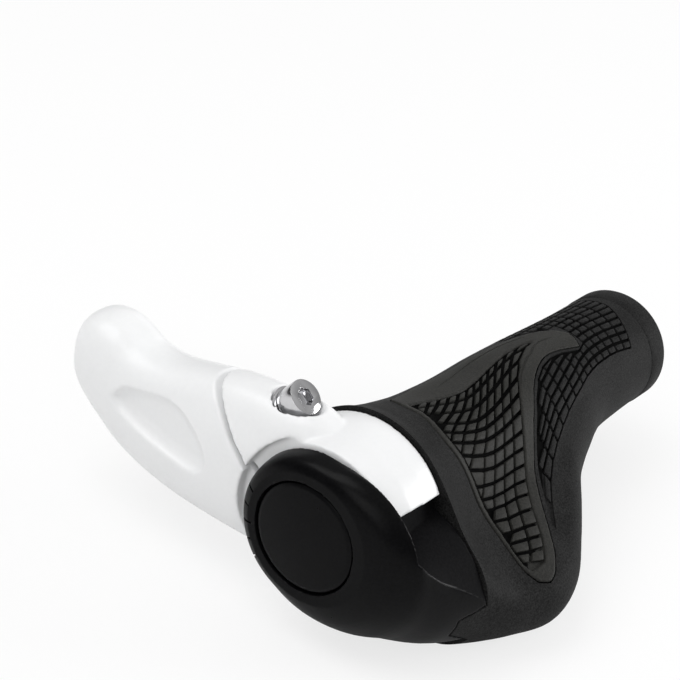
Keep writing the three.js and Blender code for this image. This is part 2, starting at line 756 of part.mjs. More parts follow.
// End plug: a round cap with a slit, ribbed stem that holds inside the bar
function endPlug() {
  const stemEnd = plugThickness + plugStemLength;
  const inner = plugStemRadius - plugStemWall;
  let plug = solid(turned([
    [0, 0],
    [0, plugRadius - 1.2],
    [0.4, plugRadius],
    [plugThickness, plugRadius],
    [plugThickness, plugStemRadius],
    [stemEnd, plugStemRadius - 0.6],
    [stemEnd, inner],
    [plugThickness + 1, inner],
    [plugThickness + 1, 0],
  ], 30));
  for (let i = 0; i < plugRibs; i += 1) {
    const x = plugThickness + (plugStemLength * (i + 1)) / (plugRibs + 1);
    plug = plug.add(solid(turned([
      [x - 0.8, plugStemRadius - 1],
      [x - 0.8, plugStemRadius + plugRibHeight],
      [x + 0.9, plugStemRadius - 0.3],
      [x + 0.9, plugStemRadius - 1],
    ], 15)));
  }
  [0, 90].forEach((turn) => {
    const slit = boxBetween(
      new THREE.Vector3(plugThickness + 5, -plugRadius, -plugStemSlit / 2),
      new THREE.Vector3(stemEnd + 1, plugRadius, plugStemSlit / 2),
    );
    slit.rotateX(turn * degrees);
    plug = plug.subtract(solid(slit));
  });
  return surface(plug);
}

// Sections of the bar end from its root to its tip: centre and half sizes at places along Y
const hornStations = [
  { y: -2, x: 14.4, z: 1, width: 9, height: 17.5 },
  { y: 5, x: 14, z: 2.2, width: 9.5, height: 18.8 },
  { y: 12, x: 13.6, z: 3.4, width: 10, height: 19.6 },
  { y: 22, x: 13.4, z: 3, width: 10.2, height: 19.6 },
  { y: 32, x: 13.4, z: 2.2, width: 10.2, height: 19 },
  { y: 42, x: 13.5, z: 0.9, width: 10.2, height: 17.4 },
  { y: 52, x: 13.6, z: 0.4, width: 10.3, height: 15.2 },
  { y: 60, x: 13.8, z: 1.6, width: 10.4, height: 13.8 },
  { y: 66.5, x: 14, z: 4.6, width: 10.3, height: 13.2 },
  { y: 72, x: 14.2, z: 6.6, width: 9.8, height: 11.8 },
  { y: 76.5, x: 14.3, z: 7.6, width: 8, height: 9.2 },
  { y: 79.5, x: 14.3, z: 8, width: 4, height: 4.6 },
];

function hornForm() {
  const first = hornStations[0].y;
  const last = hornStations[hornStations.length - 1].y;
  const rings = [];
  const count = 17;
  for (let i = 0; i <= count; i += 1) {
    const t = i / count;
    const y = first + (last - first) * (1 - (1 - t) ** 1.35);
    const size = (key) => along(hornStations, 'y', key, y);
    const ring = [];
    for (let j = 0; j < 28; j += 1) {
      const angle = (j / 28) * 2 * Math.PI;
      const c = Math.cos(angle);
      const s = Math.sin(angle);
      const power = 2 / hornSquareness;
      ring.push(new THREE.Vector3(
        size('x') + size('width') * Math.sign(c) * Math.abs(c) ** power,
        y,
        size('z') + size('height') * Math.sign(s) * Math.abs(s) ** power,
      ));
    }
    rings.push(ring);
  }
  return solid(loft(rings));
}

// The long tapered hollow on each side of the bar end
function hornHollow(side) {
  const floor = new THREE.SplineCurve([
    new THREE.Vector2(58, 4.8),
    new THREE.Vector2(52, 6.9),
    new THREE.Vector2(45.6, 8.4),
    new THREE.Vector2(40, 6),
    new THREE.Vector2(35.5, 0.7),
    new THREE.Vector2(41, 0.4),
    new THREE.Vector2(51, 2.4),
    new THREE.Vector2(58, 4.8),
  ]);
  const geometry = new THREE.ExtrudeGeometry(new THREE.Shape(floor.getPoints(16).slice(0, -1)), {
    depth: 4,
    bevelThickness: hollowDepth,
    bevelSize: 4.2,
    bevelSegments: 2,
  });
  geometry.applyMatrix4(new THREE.Matrix4().makeBasis(
    new THREE.Vector3(0, 1, 0),
    new THREE.Vector3(0, 0, 1),
    new THREE.Vector3(1, 0, 0),
  ));
  geometry.translate(side < 0 ? -2.2 : 24.4, 0, 0);
  return solid(geometry);
}

// The clamp's split, a curved slot through its whole width
function clampSplit() {
  const path = new THREE.SplineCurve([
    new THREE.Vector2(10, -2),
    new THREE.Vector2(16, 2.2),
    new THREE.Vector2(20, 5.2),
    new THREE.Vector2(22.8, 7.6),
    new THREE.Vector2(25.5, 9.9),
    new THREE.Vector2(28.6, 13.2),
    new THREE.Vector2(32.3, 16.6),
    new THREE.Vector2(36.3, 19.6),
    new THREE.Vector2(41, 23),
  ]);
  const left = [];
  const right = [];
  for (let i = 0; i <= 10; i += 1) {
    const p = path.getPoint(i / 10);
    const t = path.getTangent(i / 10);
    left.push(new THREE.Vector2(p.x - (t.y * splitWidth) / 2, p.y + (t.x * splitWidth) / 2));
    right.push(new THREE.Vector2(p.x + (t.y * splitWidth) / 2, p.y - (t.x * splitWidth) / 2));
  }
  const geometry = new THREE.ExtrudeGeometry(
    new THREE.Shape([...left, ...right.reverse()]),
    { depth: 40, bevelEnabled: false },
  );
  geometry.applyMatrix4(new THREE.Matrix4().makeBasis(
    new THREE.Vector3(0, 1, 0),
    new THREE.Vector3(0, 0, 1),
    new THREE.Vector3(1, 0, 0),
  ));
  geometry.translate(-8, 0, 0);
  return solid(geometry);
}

// Bar end: the horn and its clamp in one piece
function barEnd() {
  const middle = (bandStart + bandEnd) / 2;
  const bandProfile = (inner) => [
    [bandStart, inner],
    [bandEnd, inner],
    [bandEnd, bandEndRadius],
    [middle + 4, bandEndRadius + 0.1],
    [middle - 2, (bandStartRadius + bandEndRadius) / 2 + 0.4],
    [bandStart, bandStartRadius],
  ];
  const ring = solid(tubeAlongBar(bandStart, bandEnd, coreRadius + clearance, ringRadius));
  const thick = solid(turned(bandProfile(ringRadius - 1), 60))
    .subtract(wedge(0, bandEnd + 5, [lipAngle, mirrored(lipAngle)]));
  const lip = solid(turned(bandProfile(floorRadius + clearance), 60))
    .subtract(wedge(bandStart, bandEnd + 0.01, [tailAngle, mirrored(tailAngle)]));
  const nutSlot = boxBetween(
    new THREE.Vector3(-nutFlats * 0.58 - clearance, -nutFlats / 2 - clearance, -nutHeight / 2 - clearance),
    new THREE.Vector3(30, nutFlats / 2 + clearance, nutHeight / 2 + clearance),
  );
  nutSlot.translate(0, 0, -nutDepth);
  nutSlot.applyMatrix4(boltPlace);
  const horn = hornForm()
    .subtract(hornHollow(-1))
    .subtract(hornHollow(1))
    .subtract(solid(rodAlongBar(-5, bandStart, hornRecessRadius, 64)));
  const headSeat = -boltHeadHeight - washerThickness - 2 * clearance;
  return surface(horn
    .add(thick)
    .add(lip)
    .subtract(solid(rodAlongBar(-5, 30, ringRadius - 1, 64)))
    .add(ring)
    .subtract(clampSplit())
    .subtract(solid(rodOnBolt(headSeat, 20, washerRadius + clearance)))
    .subtract(solid(rodOnBolt(-boltHeadHeight - boltLength - 1.5, 0, boltRadius + clearance)))
    .subtract(solid(nutSlot)));
}

// Clamp bolt: socket head cap screw
function clampBolt() {
  const socket = new THREE.CylinderGeometry(boltHexRadius, boltHexRadius, boltHexDepth + 1, 6);
  socket.rotateX(Math.PI / 2);
  socket.translate(0, 0, (1 - boltHexDepth) / 2);
  socket.applyMatrix4(boltPlace);
  return surface(solid(rodOnBolt(-boltHeadHeight, 0, boltHeadRadius, 32))
    .add(solid(rodOnBolt(-boltHeadHeight - boltLength, -boltHeadHeight + 0.1, boltRadius)))
    .subtract(solid(socket)));
}

function washer() {
  const top = -boltHeadHeight - clearance;
  return surface(solid(rodOnBolt(top - washerThickness, top, washerRadius, 32))
    .subtract(solid(rodOnBolt(top - 5, top + 5, boltRadius + clearance))));
}

function clampNut() {
  const hex = new THREE.CylinderGeometry(nutFlats / Math.sqrt(3), nutFlats / Math.sqrt(3), nutHeight, 6);
  hex.rotateX(Math.PI / 2);
  hex.rotateZ(30 * degrees);
  hex.translate(0, 0, -nutDepth);
  hex.applyMatrix4(boltPlace);
  const hole = solid(rodOnBolt(-nutDepth - 5, -nutDepth + 5, boltRadius + clearance));
  return surface(solid(hex).subtract(hole));
}

const blackRubber = { color: 0x1c1c1d, roughness: 0.8, metalness: 0 };
const greyRubber = { color: 0x4a4945, roughness: 0.75, metalness: 0 };
const blackPlastic = { color: 0x141415, roughness: 0.45, metalness: 0 };
const whitePlastic = { color: 0xeceef0, roughness: 0.35, metalness: 0 };
const corePlastic = { color: 0x2b2b2d, roughness: 0.6, metalness: 0 };
const steel = { color: 0xc8c9cc, roughness: 0.2, metalness: 1 };

const grip = new THREE.Group();

function addPiece(name, geometry, look, parent) {
  const piece = new THREE.Mesh(geometry, new THREE.MeshStandardMaterial(look));
  piece.name = name;
  parent.add(piece);
}

addPiece('core_sleeve', coreSleeve(), corePlastic, grip);
addPiece('rubber_body', rubberBody(), blackRubber, grip);
addPiece('palm_inlay_upper', palmInlay(false), greyRubber, grip);
addPiece('palm_inlay_lower', palmInlay(true), greyRubber, grip);
addPiece('end_cover', endCover(), blackPlastic, grip);
addPiece('end_plug', endPlug(), blackPlastic, grip);
addPiece('bar_end', barEnd(), whitePlastic, grip);
addPiece('clamp_bolt', clampBolt(), steel, grip);
addPiece('bolt_washer', washer(), steel, grip);
addPiece('clamp_nut', clampNut(), steel, grip);

export default grip;
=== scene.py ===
# %% [markdown]
# # A handlebar grip with a palm wing and a clamped bar end
# The measured model of the grip is loaded first and never moved. Each visible piece is then
# modelled again at the same place with finer shapes, given its finish, lit and photographed.
# Everything is in metres along the model's own axes: X runs along the bar, Z is up.

# %% Load the measured model
import math
import bpy
import numpy as np
from mathutils import Matrix, Vector


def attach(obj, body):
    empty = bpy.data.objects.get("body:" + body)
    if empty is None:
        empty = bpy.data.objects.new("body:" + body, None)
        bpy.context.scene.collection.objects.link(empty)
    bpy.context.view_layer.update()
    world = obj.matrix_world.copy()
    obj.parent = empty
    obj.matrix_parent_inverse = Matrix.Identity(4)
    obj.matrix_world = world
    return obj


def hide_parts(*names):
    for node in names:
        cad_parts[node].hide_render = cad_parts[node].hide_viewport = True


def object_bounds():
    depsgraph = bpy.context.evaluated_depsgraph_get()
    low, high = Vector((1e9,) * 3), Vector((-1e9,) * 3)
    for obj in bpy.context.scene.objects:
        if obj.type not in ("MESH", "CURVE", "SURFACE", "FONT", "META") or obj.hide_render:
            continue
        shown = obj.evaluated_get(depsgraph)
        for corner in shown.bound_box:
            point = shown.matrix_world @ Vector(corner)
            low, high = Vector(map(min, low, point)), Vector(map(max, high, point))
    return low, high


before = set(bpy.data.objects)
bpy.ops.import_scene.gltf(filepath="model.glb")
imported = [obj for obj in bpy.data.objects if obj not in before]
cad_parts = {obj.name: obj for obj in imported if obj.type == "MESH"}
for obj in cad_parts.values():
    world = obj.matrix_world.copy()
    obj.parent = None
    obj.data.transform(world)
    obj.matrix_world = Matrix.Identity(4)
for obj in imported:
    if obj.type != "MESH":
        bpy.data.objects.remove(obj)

cad_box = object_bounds()
print("measured box in metres:", cad_box)

# %% [markdown]
# ## Sizes of the real object
# A grip is made to the bar it slides on, so the bar's radius comes first and the rest follows.
# Sizes are written in millimetres, as on a drawing, and turned into metres when a shape is made.

# %% Sizes
MM = 0.001
bar_radius = 11.1
gap = 0.3
grip_length = 138.0
band_start = 6.3
band_end = 23.7
end_ring_width = 7.5
end_ring_radius = 15.4
core_inset = 1.2
core_radius = bar_radius + 2.0
body_start = band_end + 2 * gap
ring_start = grip_length - end_ring_width
wing_angle = 203.0
print("the rubber starts", body_start, "mm from the end cap")

# %% [markdown]
# ## The outer form
# The grip is a round tube with a palm wing that grows out of it and droops. At each station the
# tube and the wing's edge are two circles joined by a web, and a soft blend fills the corner.
# One function gives the radius at any place and angle, so all pieces share the same form.

# %% Stations of the form: place, tube, wing's centre (y, z), wing's own radius, web at the tube
form = np.array([
    (0, 15.6, -1, 0, 15.8, 15.6), (0.8, 17.2, -2, -0.2, 17.6, 17.2), (2, 18, -3.6, -0.8, 19, 18),
    (4, 18.3, -5.6, -1.4, 20.1, 18.3), (6, 18.4, -7.6, -2.1, 20.3, 18.4),
    (9, 19, -11.6, -4.4, 18, 19.4), (15, 20.6, -17, -8.6, 15.6, 20.2),
    (24, 21.3, -20.2, -11.4, 15.8, 20.2), (29, 20.8, -26.6, -14.2, 11.6, 15.4),
    (35, 19.5, -32.4, -15.9, 8.4, 11.8), (45, 17.8, -35.8, -15.8, 8.3, 10.2),
    (55, 17, -34.2, -14, 8.2, 9.8), (64, 16.6, -28.4, -10.4, 8.4, 10.4),
    (71, 16.5, -23, -7.6, 8.8, 11.4), (79, 16.4, -16.6, -5, 9.4, 12.4),
    (87, 16.2, -11.5, -3.6, 10.8, 13), (93, 16, -8.2, -2.6, 11.8, 13.6),
    (99, 15.8, -5, -1.6, 12.8, 14), (106, 15.6, -2, -0.6, 14.2, 14.6),
    (117, 15.3, -0.6, 0, 15, 15), (138, 15.2, 0, 0, 15, 15),
])
blend_width = 7
full_blend_reach = 20
farthest = 70.0
halvings = 26


def between_stations(stations, column, at):
    """Smooth value of one column at places along the first column."""
    places, values = stations[:, 0], stations[:, column]
    last = len(places) - 1
    before = np.maximum(np.arange(last + 1) - 1, 0)
    after = np.minimum(np.arange(last + 1) + 1, last)
    slope = (values[after] - values[before]) / (places[after] - places[before])
    i = np.clip(np.searchsorted(places, at) - 1, 0, last - 1)
    span = places[i + 1] - places[i]
    t = np.clip((at - places[i]) / span, 0, 1)
    return ((2 * t**3 - 3 * t**2 + 1) * values[i] + (t**3 - 2 * t**2 + t) * span * slope[i]
            + (3 * t**2 - 2 * t**3) * values[i + 1] + (t**3 - t**2) * span * slope[i + 1])


def columns_at(stations, at):
    return [between_stations(stations, k, at) for k in range(1, stations.shape[1])]


def form_radius(x, angle):
    """Radius of the form at places x (mm) and angles (degrees), by halving the range."""
    x, angle = np.broadcast_arrays(np.asarray(x, float), np.radians(angle))
    tube, wing_y, wing_z, wing, neck = columns_at(form, x)
    reach = np.maximum(np.hypot(wing_y, wing_z), 1e-6)
    fall = neck - wing
    taper = np.clip(fall / reach, -0.999, 0.999)
    level = np.sqrt(1 - taper**2)
    inside, outside = np.zeros(x.shape), np.full(x.shape, farthest)
    for _ in range(halvings):
        r = (inside + outside) / 2
        y, z = r * np.cos(angle), r * np.sin(angle)
        lengthwise = (y * wing_y + z * wing_z) / reach
        across = np.abs(y * wing_z - z * wing_y) / reach
        place = lengthwise * level - across * taper
        web = np.where(place < 0, np.hypot(across, lengthwise) - neck,
                       np.where(place > level * reach, np.hypot(across, lengthwise - reach) - wing,
                                across * level + lengthwise * taper - neck))
        web = np.where(reach <= np.abs(fall) + 1e-6, r - np.maximum(neck, wing - reach), web)
        near = np.maximum(blend_width - np.abs(r - tube - web), 0) / blend_width
        soft = near**2 * blend_width / 4 * np.minimum(1, reach / full_blend_reach)
        beyond = np.minimum(r - tube, web) - soft > 0
        outside, inside = np.where(beyond, r, outside), np.where(beyond, inside, r)
    return (inside + outside) / 2


def unit(vectors):
    return vectors / np.linalg.norm(vectors, axis=-1, keepdims=True)


def on_form(x, angle, lift=0.0):
    """Points of the form, lifted along its own normal."""
    def point(px, pa):
        r = form_radius(px, pa)
        return np.stack([px + 0 * r, r * np.cos(np.radians(pa)), r * np.sin(np.radians(pa))], -1)
    x, angle = np.broadcast_arrays(np.asarray(x, float), np.asarray(angle, float))
    along_bar = point(x + 0.02, angle) - point(x - 0.02, angle)
    round_bar = point(x, angle + 1) - point(x, angle - 1)
    out = unit(np.cross(round_bar, along_bar))
    return point(x, angle) + out * np.asarray(lift)[..., None]


print("radius over the thumb side at mid length:", round(float(form_radius(70, 90)), 2), "mm")

# %% [markdown]
# ## Working by hand
# These helpers do what a hand would do at the screen: select, move points, turn faces outwards.

# %% Select, read and move points
weld_distance = 2e-7
same_point = 1e-6
fine_turns = 128


def take(piece):
    """Makes one object the only one selected, and the active one."""
    if bpy.context.object and bpy.context.mode != "OBJECT":
        bpy.ops.object.mode_set(mode="OBJECT")
    bpy.ops.object.select_all(action="DESELECT")
    piece.select_set(True)
    bpy.context.view_layer.objects.active = piece
    return piece


def points_of(piece):
    places = np.empty(3 * len(piece.data.vertices), np.float32)
    piece.data.vertices.foreach_get("co", places)
    return places.reshape(-1, 3)


def set_points(piece, places):
    piece.data.vertices.foreach_set("co", np.asarray(places, np.float32).ravel())
    piece.data.update()


def edit(piece, kind, action):
    """Edit mode on vertices, edges or faces, with all or none of them selected."""
    take(piece)
    bpy.ops.object.mode_set(mode="EDIT")
    bpy.ops.mesh.select_mode(type=kind)
    bpy.ops.mesh.select_all(action=action)


def select_where(piece, chosen):
    """Selects the vertices that the mask chooses, in edit mode on vertices."""
    edit(piece, "VERT", "DESELECT")
    bpy.ops.object.mode_set(mode="OBJECT")
    piece.data.vertices.foreach_set("select", np.asarray(chosen, bool))
    bpy.ops.object.mode_set(mode="EDIT")


def named(name):
    """Names the object that was just added."""
    piece = bpy.context.active_object
    piece.name = name
    return piece


def normals_out():
    """Turns all faces of the mesh in edit mode outwards and leaves that mode."""
    bpy.ops.mesh.select_all(action="SELECT")
    bpy.ops.mesh.normals_make_consistent(inside=False)
    bpy.ops.object.mode_set(mode="OBJECT")

# %% [markdown]
# ### Sheets, tubes and rods
# Most parts are bent sheets, tubes through a row of sections, or turned. Each of these gets a
# small recipe that starts from a grid, a circle or a cylinder.

# %% Sheets, tubes and rods
def grid_sheet(name, rows, columns, place):
    """A grid primitive whose points are moved to place(u, v), both from 0 to 1."""
    bpy.ops.object.select_all(action="DESELECT")
    bpy.ops.mesh.primitive_grid_add(x_subdivisions=columns, y_subdivisions=rows, size=1)
    sheet = named(name)
    flat = points_of(sheet)
    u = np.round((flat[:, 1] + 0.5) * rows) / rows
    v = np.round((flat[:, 0] + 0.5) * columns) / columns
    set_points(sheet, place(u, v) * MM)
    return sheet


def grid_tube(name, rows, columns, place):
    """The same grid rolled up: its seam is welded and its two ends are filled."""
    tube = grid_sheet(name, rows, columns, place)
    round_it = np.arange(columns) / columns
    ends = [(place(np.full(columns, end), round_it) * MM).astype(np.float32) for end in (0.0, 1.0)]
    edit(tube, "VERT", "SELECT")
    bpy.ops.mesh.remove_doubles(threshold=weld_distance)
    bpy.ops.object.mode_set(mode="OBJECT")
    for corner in ends:
        away = np.linalg.norm(points_of(tube)[:, None] - corner[None], axis=2)
        select_where(tube, np.min(away, axis=1) < same_point)
        bpy.ops.mesh.edge_face_add()
    normals_out()
    return tube


def ring_tube(name, rings):
    """A closed loft through rings of points, all with the same count."""
    rings = np.asarray(rings, float)
    rows, columns = rings.shape[0] - 1, rings.shape[1]
    def place(u, v):
        return rings[np.rint(u * rows).astype(int), np.rint(v * columns).astype(int) % columns]
    return grid_tube(name, rows, columns, place)


def prism(name, corners, low, high):
    """A prism along X, its section given as (y, z) corners."""
    corners = np.asarray(corners, float)
    rings = [np.column_stack([np.full(len(corners), x), corners]) for x in (low, high)]
    return ring_tube(name, rings)


def spun(name, profile, turns=96):
    """Spins a closed profile of (place, radius) pairs round the bar's axis."""
    profile = np.asarray(profile, float)
    bpy.ops.object.select_all(action="DESELECT")
    bpy.ops.mesh.primitive_circle_add(vertices=len(profile), radius=1, fill_type="NOTHING")
    piece = named(name)
    set_points(piece, np.column_stack([profile, np.zeros(len(profile))]) * MM)
    edit(piece, "VERT", "SELECT")
    bpy.ops.mesh.spin(steps=turns, angle=2 * math.pi, center=(0, 0, 0), axis=(1, 0, 0))
    bpy.ops.mesh.select_all(action="SELECT")
    bpy.ops.mesh.remove_doubles(threshold=same_point)
    normals_out()
    return piece


def rod(name, start, end, radius, turns=64):
    """A round rod between two points."""
    start, end = Vector(start) * MM, Vector(end) * MM
    axis = end - start
    bpy.ops.object.select_all(action="DESELECT")
    bpy.ops.mesh.primitive_cylinder_add(vertices=turns, radius=radius * MM, depth=axis.length,
                                        location=(start + end) / 2,
                                        rotation=axis.to_track_quat("Z", "Y").to_euler())
    piece = named(name)
    bpy.ops.object.transform_apply(location=True, rotation=True, scale=True)
    return piece


def along_bar(name, start, end, radius, turns=96):
    return rod(name, (start, 0, 0), (end, 0, 0), radius, turns)

# %% [markdown]
# ### Cutting and rounding
# Openings are cut with other solids. Real edges are never sharp, so a solid is rebuilt from
# fine cells and smoothed, or its sharp edges are bevelled.

# %% Cut, round and bevel
def combine(piece, tool, how):
    """Cuts one solid with another, joins them or keeps what they share."""
    take(piece)
    bpy.ops.object.modifier_add(type="BOOLEAN")
    step = piece.modifiers[-1]
    step.operation = how
    step.solver = "MANIFOLD"
    step.object = tool
    before = len(piece.data.polygons)
    bpy.ops.object.modifier_apply(modifier=step.name)
    bpy.data.objects.remove(tool)
    print(f"  {piece.name}: {how.lower()}, {before} to {len(piece.data.polygons)} faces")
    return piece


def cut(piece, *tools):
    """Takes each tool's shape away from the piece."""
    for tool in tools:
        combine(piece, tool, "DIFFERENCE")
    return piece


def round_over(piece, voxel, passes):
    """Rounds all edges a little: the solid is rebuilt from fine cells and smoothed."""
    take(piece)
    bpy.ops.object.modifier_add(type="REMESH")
    step = piece.modifiers[-1]
    step.mode = "VOXEL"
    step.voxel_size = voxel * MM
    bpy.ops.object.modifier_apply(modifier=step.name)
    bpy.ops.object.modifier_add(type="SMOOTH")
    step = piece.modifiers[-1]
    step.factor = 0.5
    step.iterations = passes
    bpy.ops.object.modifier_apply(modifier=step.name)
    print(f"  {piece.name}: {len(piece.data.polygons)} faces after rounding")
    return piece


def bevel(piece, width, segments, angle):
    """Rounds the edges of a piece that turn by more than the angle."""
    take(piece)
    bpy.ops.object.modifier_add(type="BEVEL")
    step = piece.modifiers[-1]
    step.width = width * MM
    step.segments = segments
    step.limit_method = "ANGLE"
    step.angle_limit = math.radians(angle)
    bpy.ops.object.modifier_apply(modifier=step.name)


def shade(piece, angle):
    take(piece)
    bpy.ops.object.shade_smooth_by_angle(angle=math.radians(angle))
    return piece


# %% [markdown]
# ## A solid of the outer form
# Rubber body and cover share this form, so their seams run through. Points spaced evenly round
# each section keep the faces regular, also where the wing is thin.

# %% A solid of the outer form
def round_section(x, share):
    """Points of the form at place x, at shares of the way round it from the top."""
    angle = np.linspace(0, 360, 721) + 90
    radius = form_radius(x, angle)
    y, z = radius * np.cos(np.radians(angle)), radius * np.sin(np.radians(angle))
    run = np.concatenate([[0], np.cumsum(np.hypot(np.diff(y), np.diff(z)))])
    goal = share * run[-1]
    return np.column_stack([np.full(len(share), x), np.interp(goal, run, y), np.interp(goal, run, z)])


def form_solid(name, start, end, rows, columns):
    """The outer form between two places as a closed solid."""
    def place(u, v):
        x = start + (end - start) * u
        result = np.empty((len(u), 3))
        for station in np.unique(x):
            here = x == station
            result[here] = round_section(station, v[here])
        return result
    return grid_tube(name, rows, columns, place)


# %% [markdown]
# ## The palm inlay's outline
# A softer grey rubber is moulded into the black one where the palm rests. Its outline is a leaf:
# a tip on the wing, two long sides that face each other, and a broad rounded end.

# %% The leaf: sides as (place, angle) pairs that face each other, and the broad end's edge
leaf_near = np.array([(41, 192.9), (39.8, 191.6), (39.7, 188.9), (40, 182), (38.7, 165.5),
                      (36.8, 140), (35.2, 119), (36, 99), (35.6, 83), (37.4, 68)])
leaf_far = np.array([(43.6, 192.9), (47.4, 191.5), (51.7, 189.3), (56.4, 184.8), (61.7, 176.4),
                     (66, 163.3), (70.8, 141.7), (78.6, 116.3), (90, 102.6), (103, 111)])
leaf_end = np.array([(37.4, 68), (46, 61), (58, 56.5), (72, 56), (84, 58.5), (93.5, 66.5),
                     (100.5, 78), (104.4, 95), (103, 111)])
inlay_depth = 1.6
inlay_proud = 0.25


def curve_at(points, t):
    """A smooth curve through the points, carried on straight beyond its ends."""
    t = np.asarray(t, float)
    def inside(s):
        last = len(points) - 1
        i = np.minimum(np.floor(last * s).astype(int), last)
        w = (last * s - i)[..., None]
        p0, p1 = points[np.maximum(i - 1, 0)], points[i]
        p2, p3 = points[np.minimum(i + 1, last)], points[np.minimum(i + 2, last)]
        v0, v1 = (p2 - p0) / 2, (p3 - p1) / 2
        return ((2 * p1 - 2 * p2 + v0 + v1) * w**3
                + (3 * p2 - 3 * p1 - 2 * v0 - v1) * w**2 + v0 * w + p1)
    s = np.clip(t, 0, 1)
    low, high = np.maximum(s - 0.01, 0), np.minimum(s + 0.01, 1)
    return inside(s) + (inside(high) - inside(low)) * ((t - s) / (high - low))[..., None]


def leaf(u, v):
    """Place and angle on the leaf: u from its tip to its broad end, v from near to far side."""
    u, v = np.broadcast_arrays(np.asarray(u, float), np.asarray(v, float))
    side = v[..., None]
    across = curve_at(leaf_near, u) * (1 - side) + curve_at(leaf_far, u) * side
    chord = leaf_near[-1] * (1 - side) + leaf_far[-1] * side
    return across + (curve_at(leaf_end, v) - chord) * (np.maximum(u, 0)[..., None] ** 2.5)


def leaf_solid(name, lower, deep, high, grow):
    """A closed skin that follows the form over the leaf."""
    def sheet_at(lift):
        def place(u, v):
            flat = leaf(u, v)
            angle = 2 * wing_angle - flat[:, 1] if lower else flat[:, 1]
            return on_form(flat[:, 0], angle, lift)
        return grid_sheet(name, 120, 48, place)
    return skin(name, sheet_at, deep, high, grow)


def skin(name, sheet_at, deep, high, grow):
    """Two sheets of the same cells made one solid: their rims are moved out and bridged."""
    low, top = sheet_at(deep), sheet_at(high)
    if grow:
        grow_rim(low, grow)
        grow_rim(top, grow)
    take(low)
    top.select_set(True)
    bpy.ops.object.join()
    low.name = name
    edit(low, "EDGE", "DESELECT")
    bpy.ops.mesh.select_non_manifold(extend=False, use_wire=False, use_boundary=True,
                                     use_multi_face=False, use_non_contiguous=False, use_verts=False)
    bpy.ops.mesh.bridge_edge_loops()
    normals_out()
    return low


def grow_rim(sheet, grow):
    """Moves the rim's points outwards in the sheet's own surface."""
    places = points_of(sheet) / MM
    uses = {}
    for face in sheet.data.polygons:
        for key in face.edge_keys:
            uses.setdefault(key, []).append(face.index)
    centres = np.array([face.center[:] for face in sheet.data.polygons]) / MM
    push = np.zeros_like(places)
    for (a, b), faces in uses.items():
        if len(faces) > 1:
            continue
        middle = (places[a] + places[b]) / 2
        run = places[b] - places[a]
        run /= max(np.linalg.norm(run), 1e-9)
        out = middle - centres[faces[0]]
        out -= run * out.dot(run)
        out /= max(np.linalg.norm(out), 1e-9)
        push[a] += out
        push[b] += out
    size = np.linalg.norm(push, axis=1)
    rim = size > 0.1
    places[rim] += push[rim] / size[rim, None] * grow
    set_points(sheet, places * MM)


length = np.linalg.norm(np.diff(on_form(*leaf(np.linspace(0, 1, 50), 0.5).T), axis=0), axis=1).sum()
print("the leaf is", round(float(length), 1), "mm long from tip to broad end")

# %% [markdown]
# ## Rows of blocks
# The palm field and the field beside it are set with small rubber blocks for grip. A row is a
# line on the form, and its nodes are the corners that neighbouring blocks share.

# %% Rows on the leaf: place along it, near end and far end across it; and rows beside it:
# place along the bar, outer angle, pitch in degrees, inner angle, angle where the front part ends
block_lines = [
    (0.1, 0.2, 0.36), (0.15, 0.1, 0.7), (0.204, 0.08, 0.78), (0.242, 0.08, 0.82),
    (0.277, 0.08, 0.83), (0.315, 0.08, 0.84), (0.351, 0.08, 0.86), (0.388, 0.08, 0.86),
    (0.434, 0.075, 0.85), (0.484, 0.07, 0.83), (0.531, 0.07, 0.81), (0.579, 0.06, 0.8),
    (0.618, 0.055, 0.79), (0.653, 0.05, 0.79), (0.696, 0.045, 0.79), (0.737, 0.04, 0.79),
    (0.768, 0.035, 0.79),
]
side_lines = np.array([
    (56, 187.6, 1, 186.8, 50), (60, 184, 2.6, 182, 50), (65, 178.8, 3.4, 172, 50),
    (70, 173, 4.6, 152, 50),
    (75, 166.5, 6.4, 131, 50), (80, 160, 7.6, 117.5, 50), (85, 154, 7.6, 110, 54),
    (90, 148, 7.6, 106.8, 59.5), (95, 142.5, 7.6, 108, 64.3), (98.4, 138.5, 7.8, 111, 70.5),
    (101.8, 136, 8, 114, 78), (105.2, 134.4, 8.2, 118, 90), (114, 134, 8.2, 118, 90),
    (122.2, 138.5, 8.2, 118, 90),
])
leaf_nose = 104.5
side_rows = 11
front_rows_end = 88
palm_pitch = 4.4
groove = 0.8
narrowest_block = 1.25


def spaced(start, end, pitch):
    """Places from one to another at a pitch, with no rest shorter than 0.4 of it."""
    sense = 1 if end > start else -1
    places, at = [], start
    while (end - at) * sense > 0.4 * pitch:
        places.append(at)
        at += sense * pitch
    return places + [end]


def cells_between(row, following, count=None):
    """Cells between two rows of nodes, the shorter row's last node used again."""
    pick = lambda nodes, k: nodes[min(k, len(nodes) - 1)]
    count = max(len(row), len(following)) - 1 if count is None else count
    rings = [[pick(row, k), pick(following, k), pick(following, k + 1), pick(row, k + 1)]
             for k in range(count)]
    return [list(dict.fromkeys(ring)) for ring in rings]


def on_block_line(at, v):
    """A row's points: it bows towards the broad end on both sides of its middle."""
    v = np.asarray(v, float)
    return leaf(at + 1.3 * at**2.3 * np.abs(v - (0.475 - 0.14 * at)) ** 1.7, v)


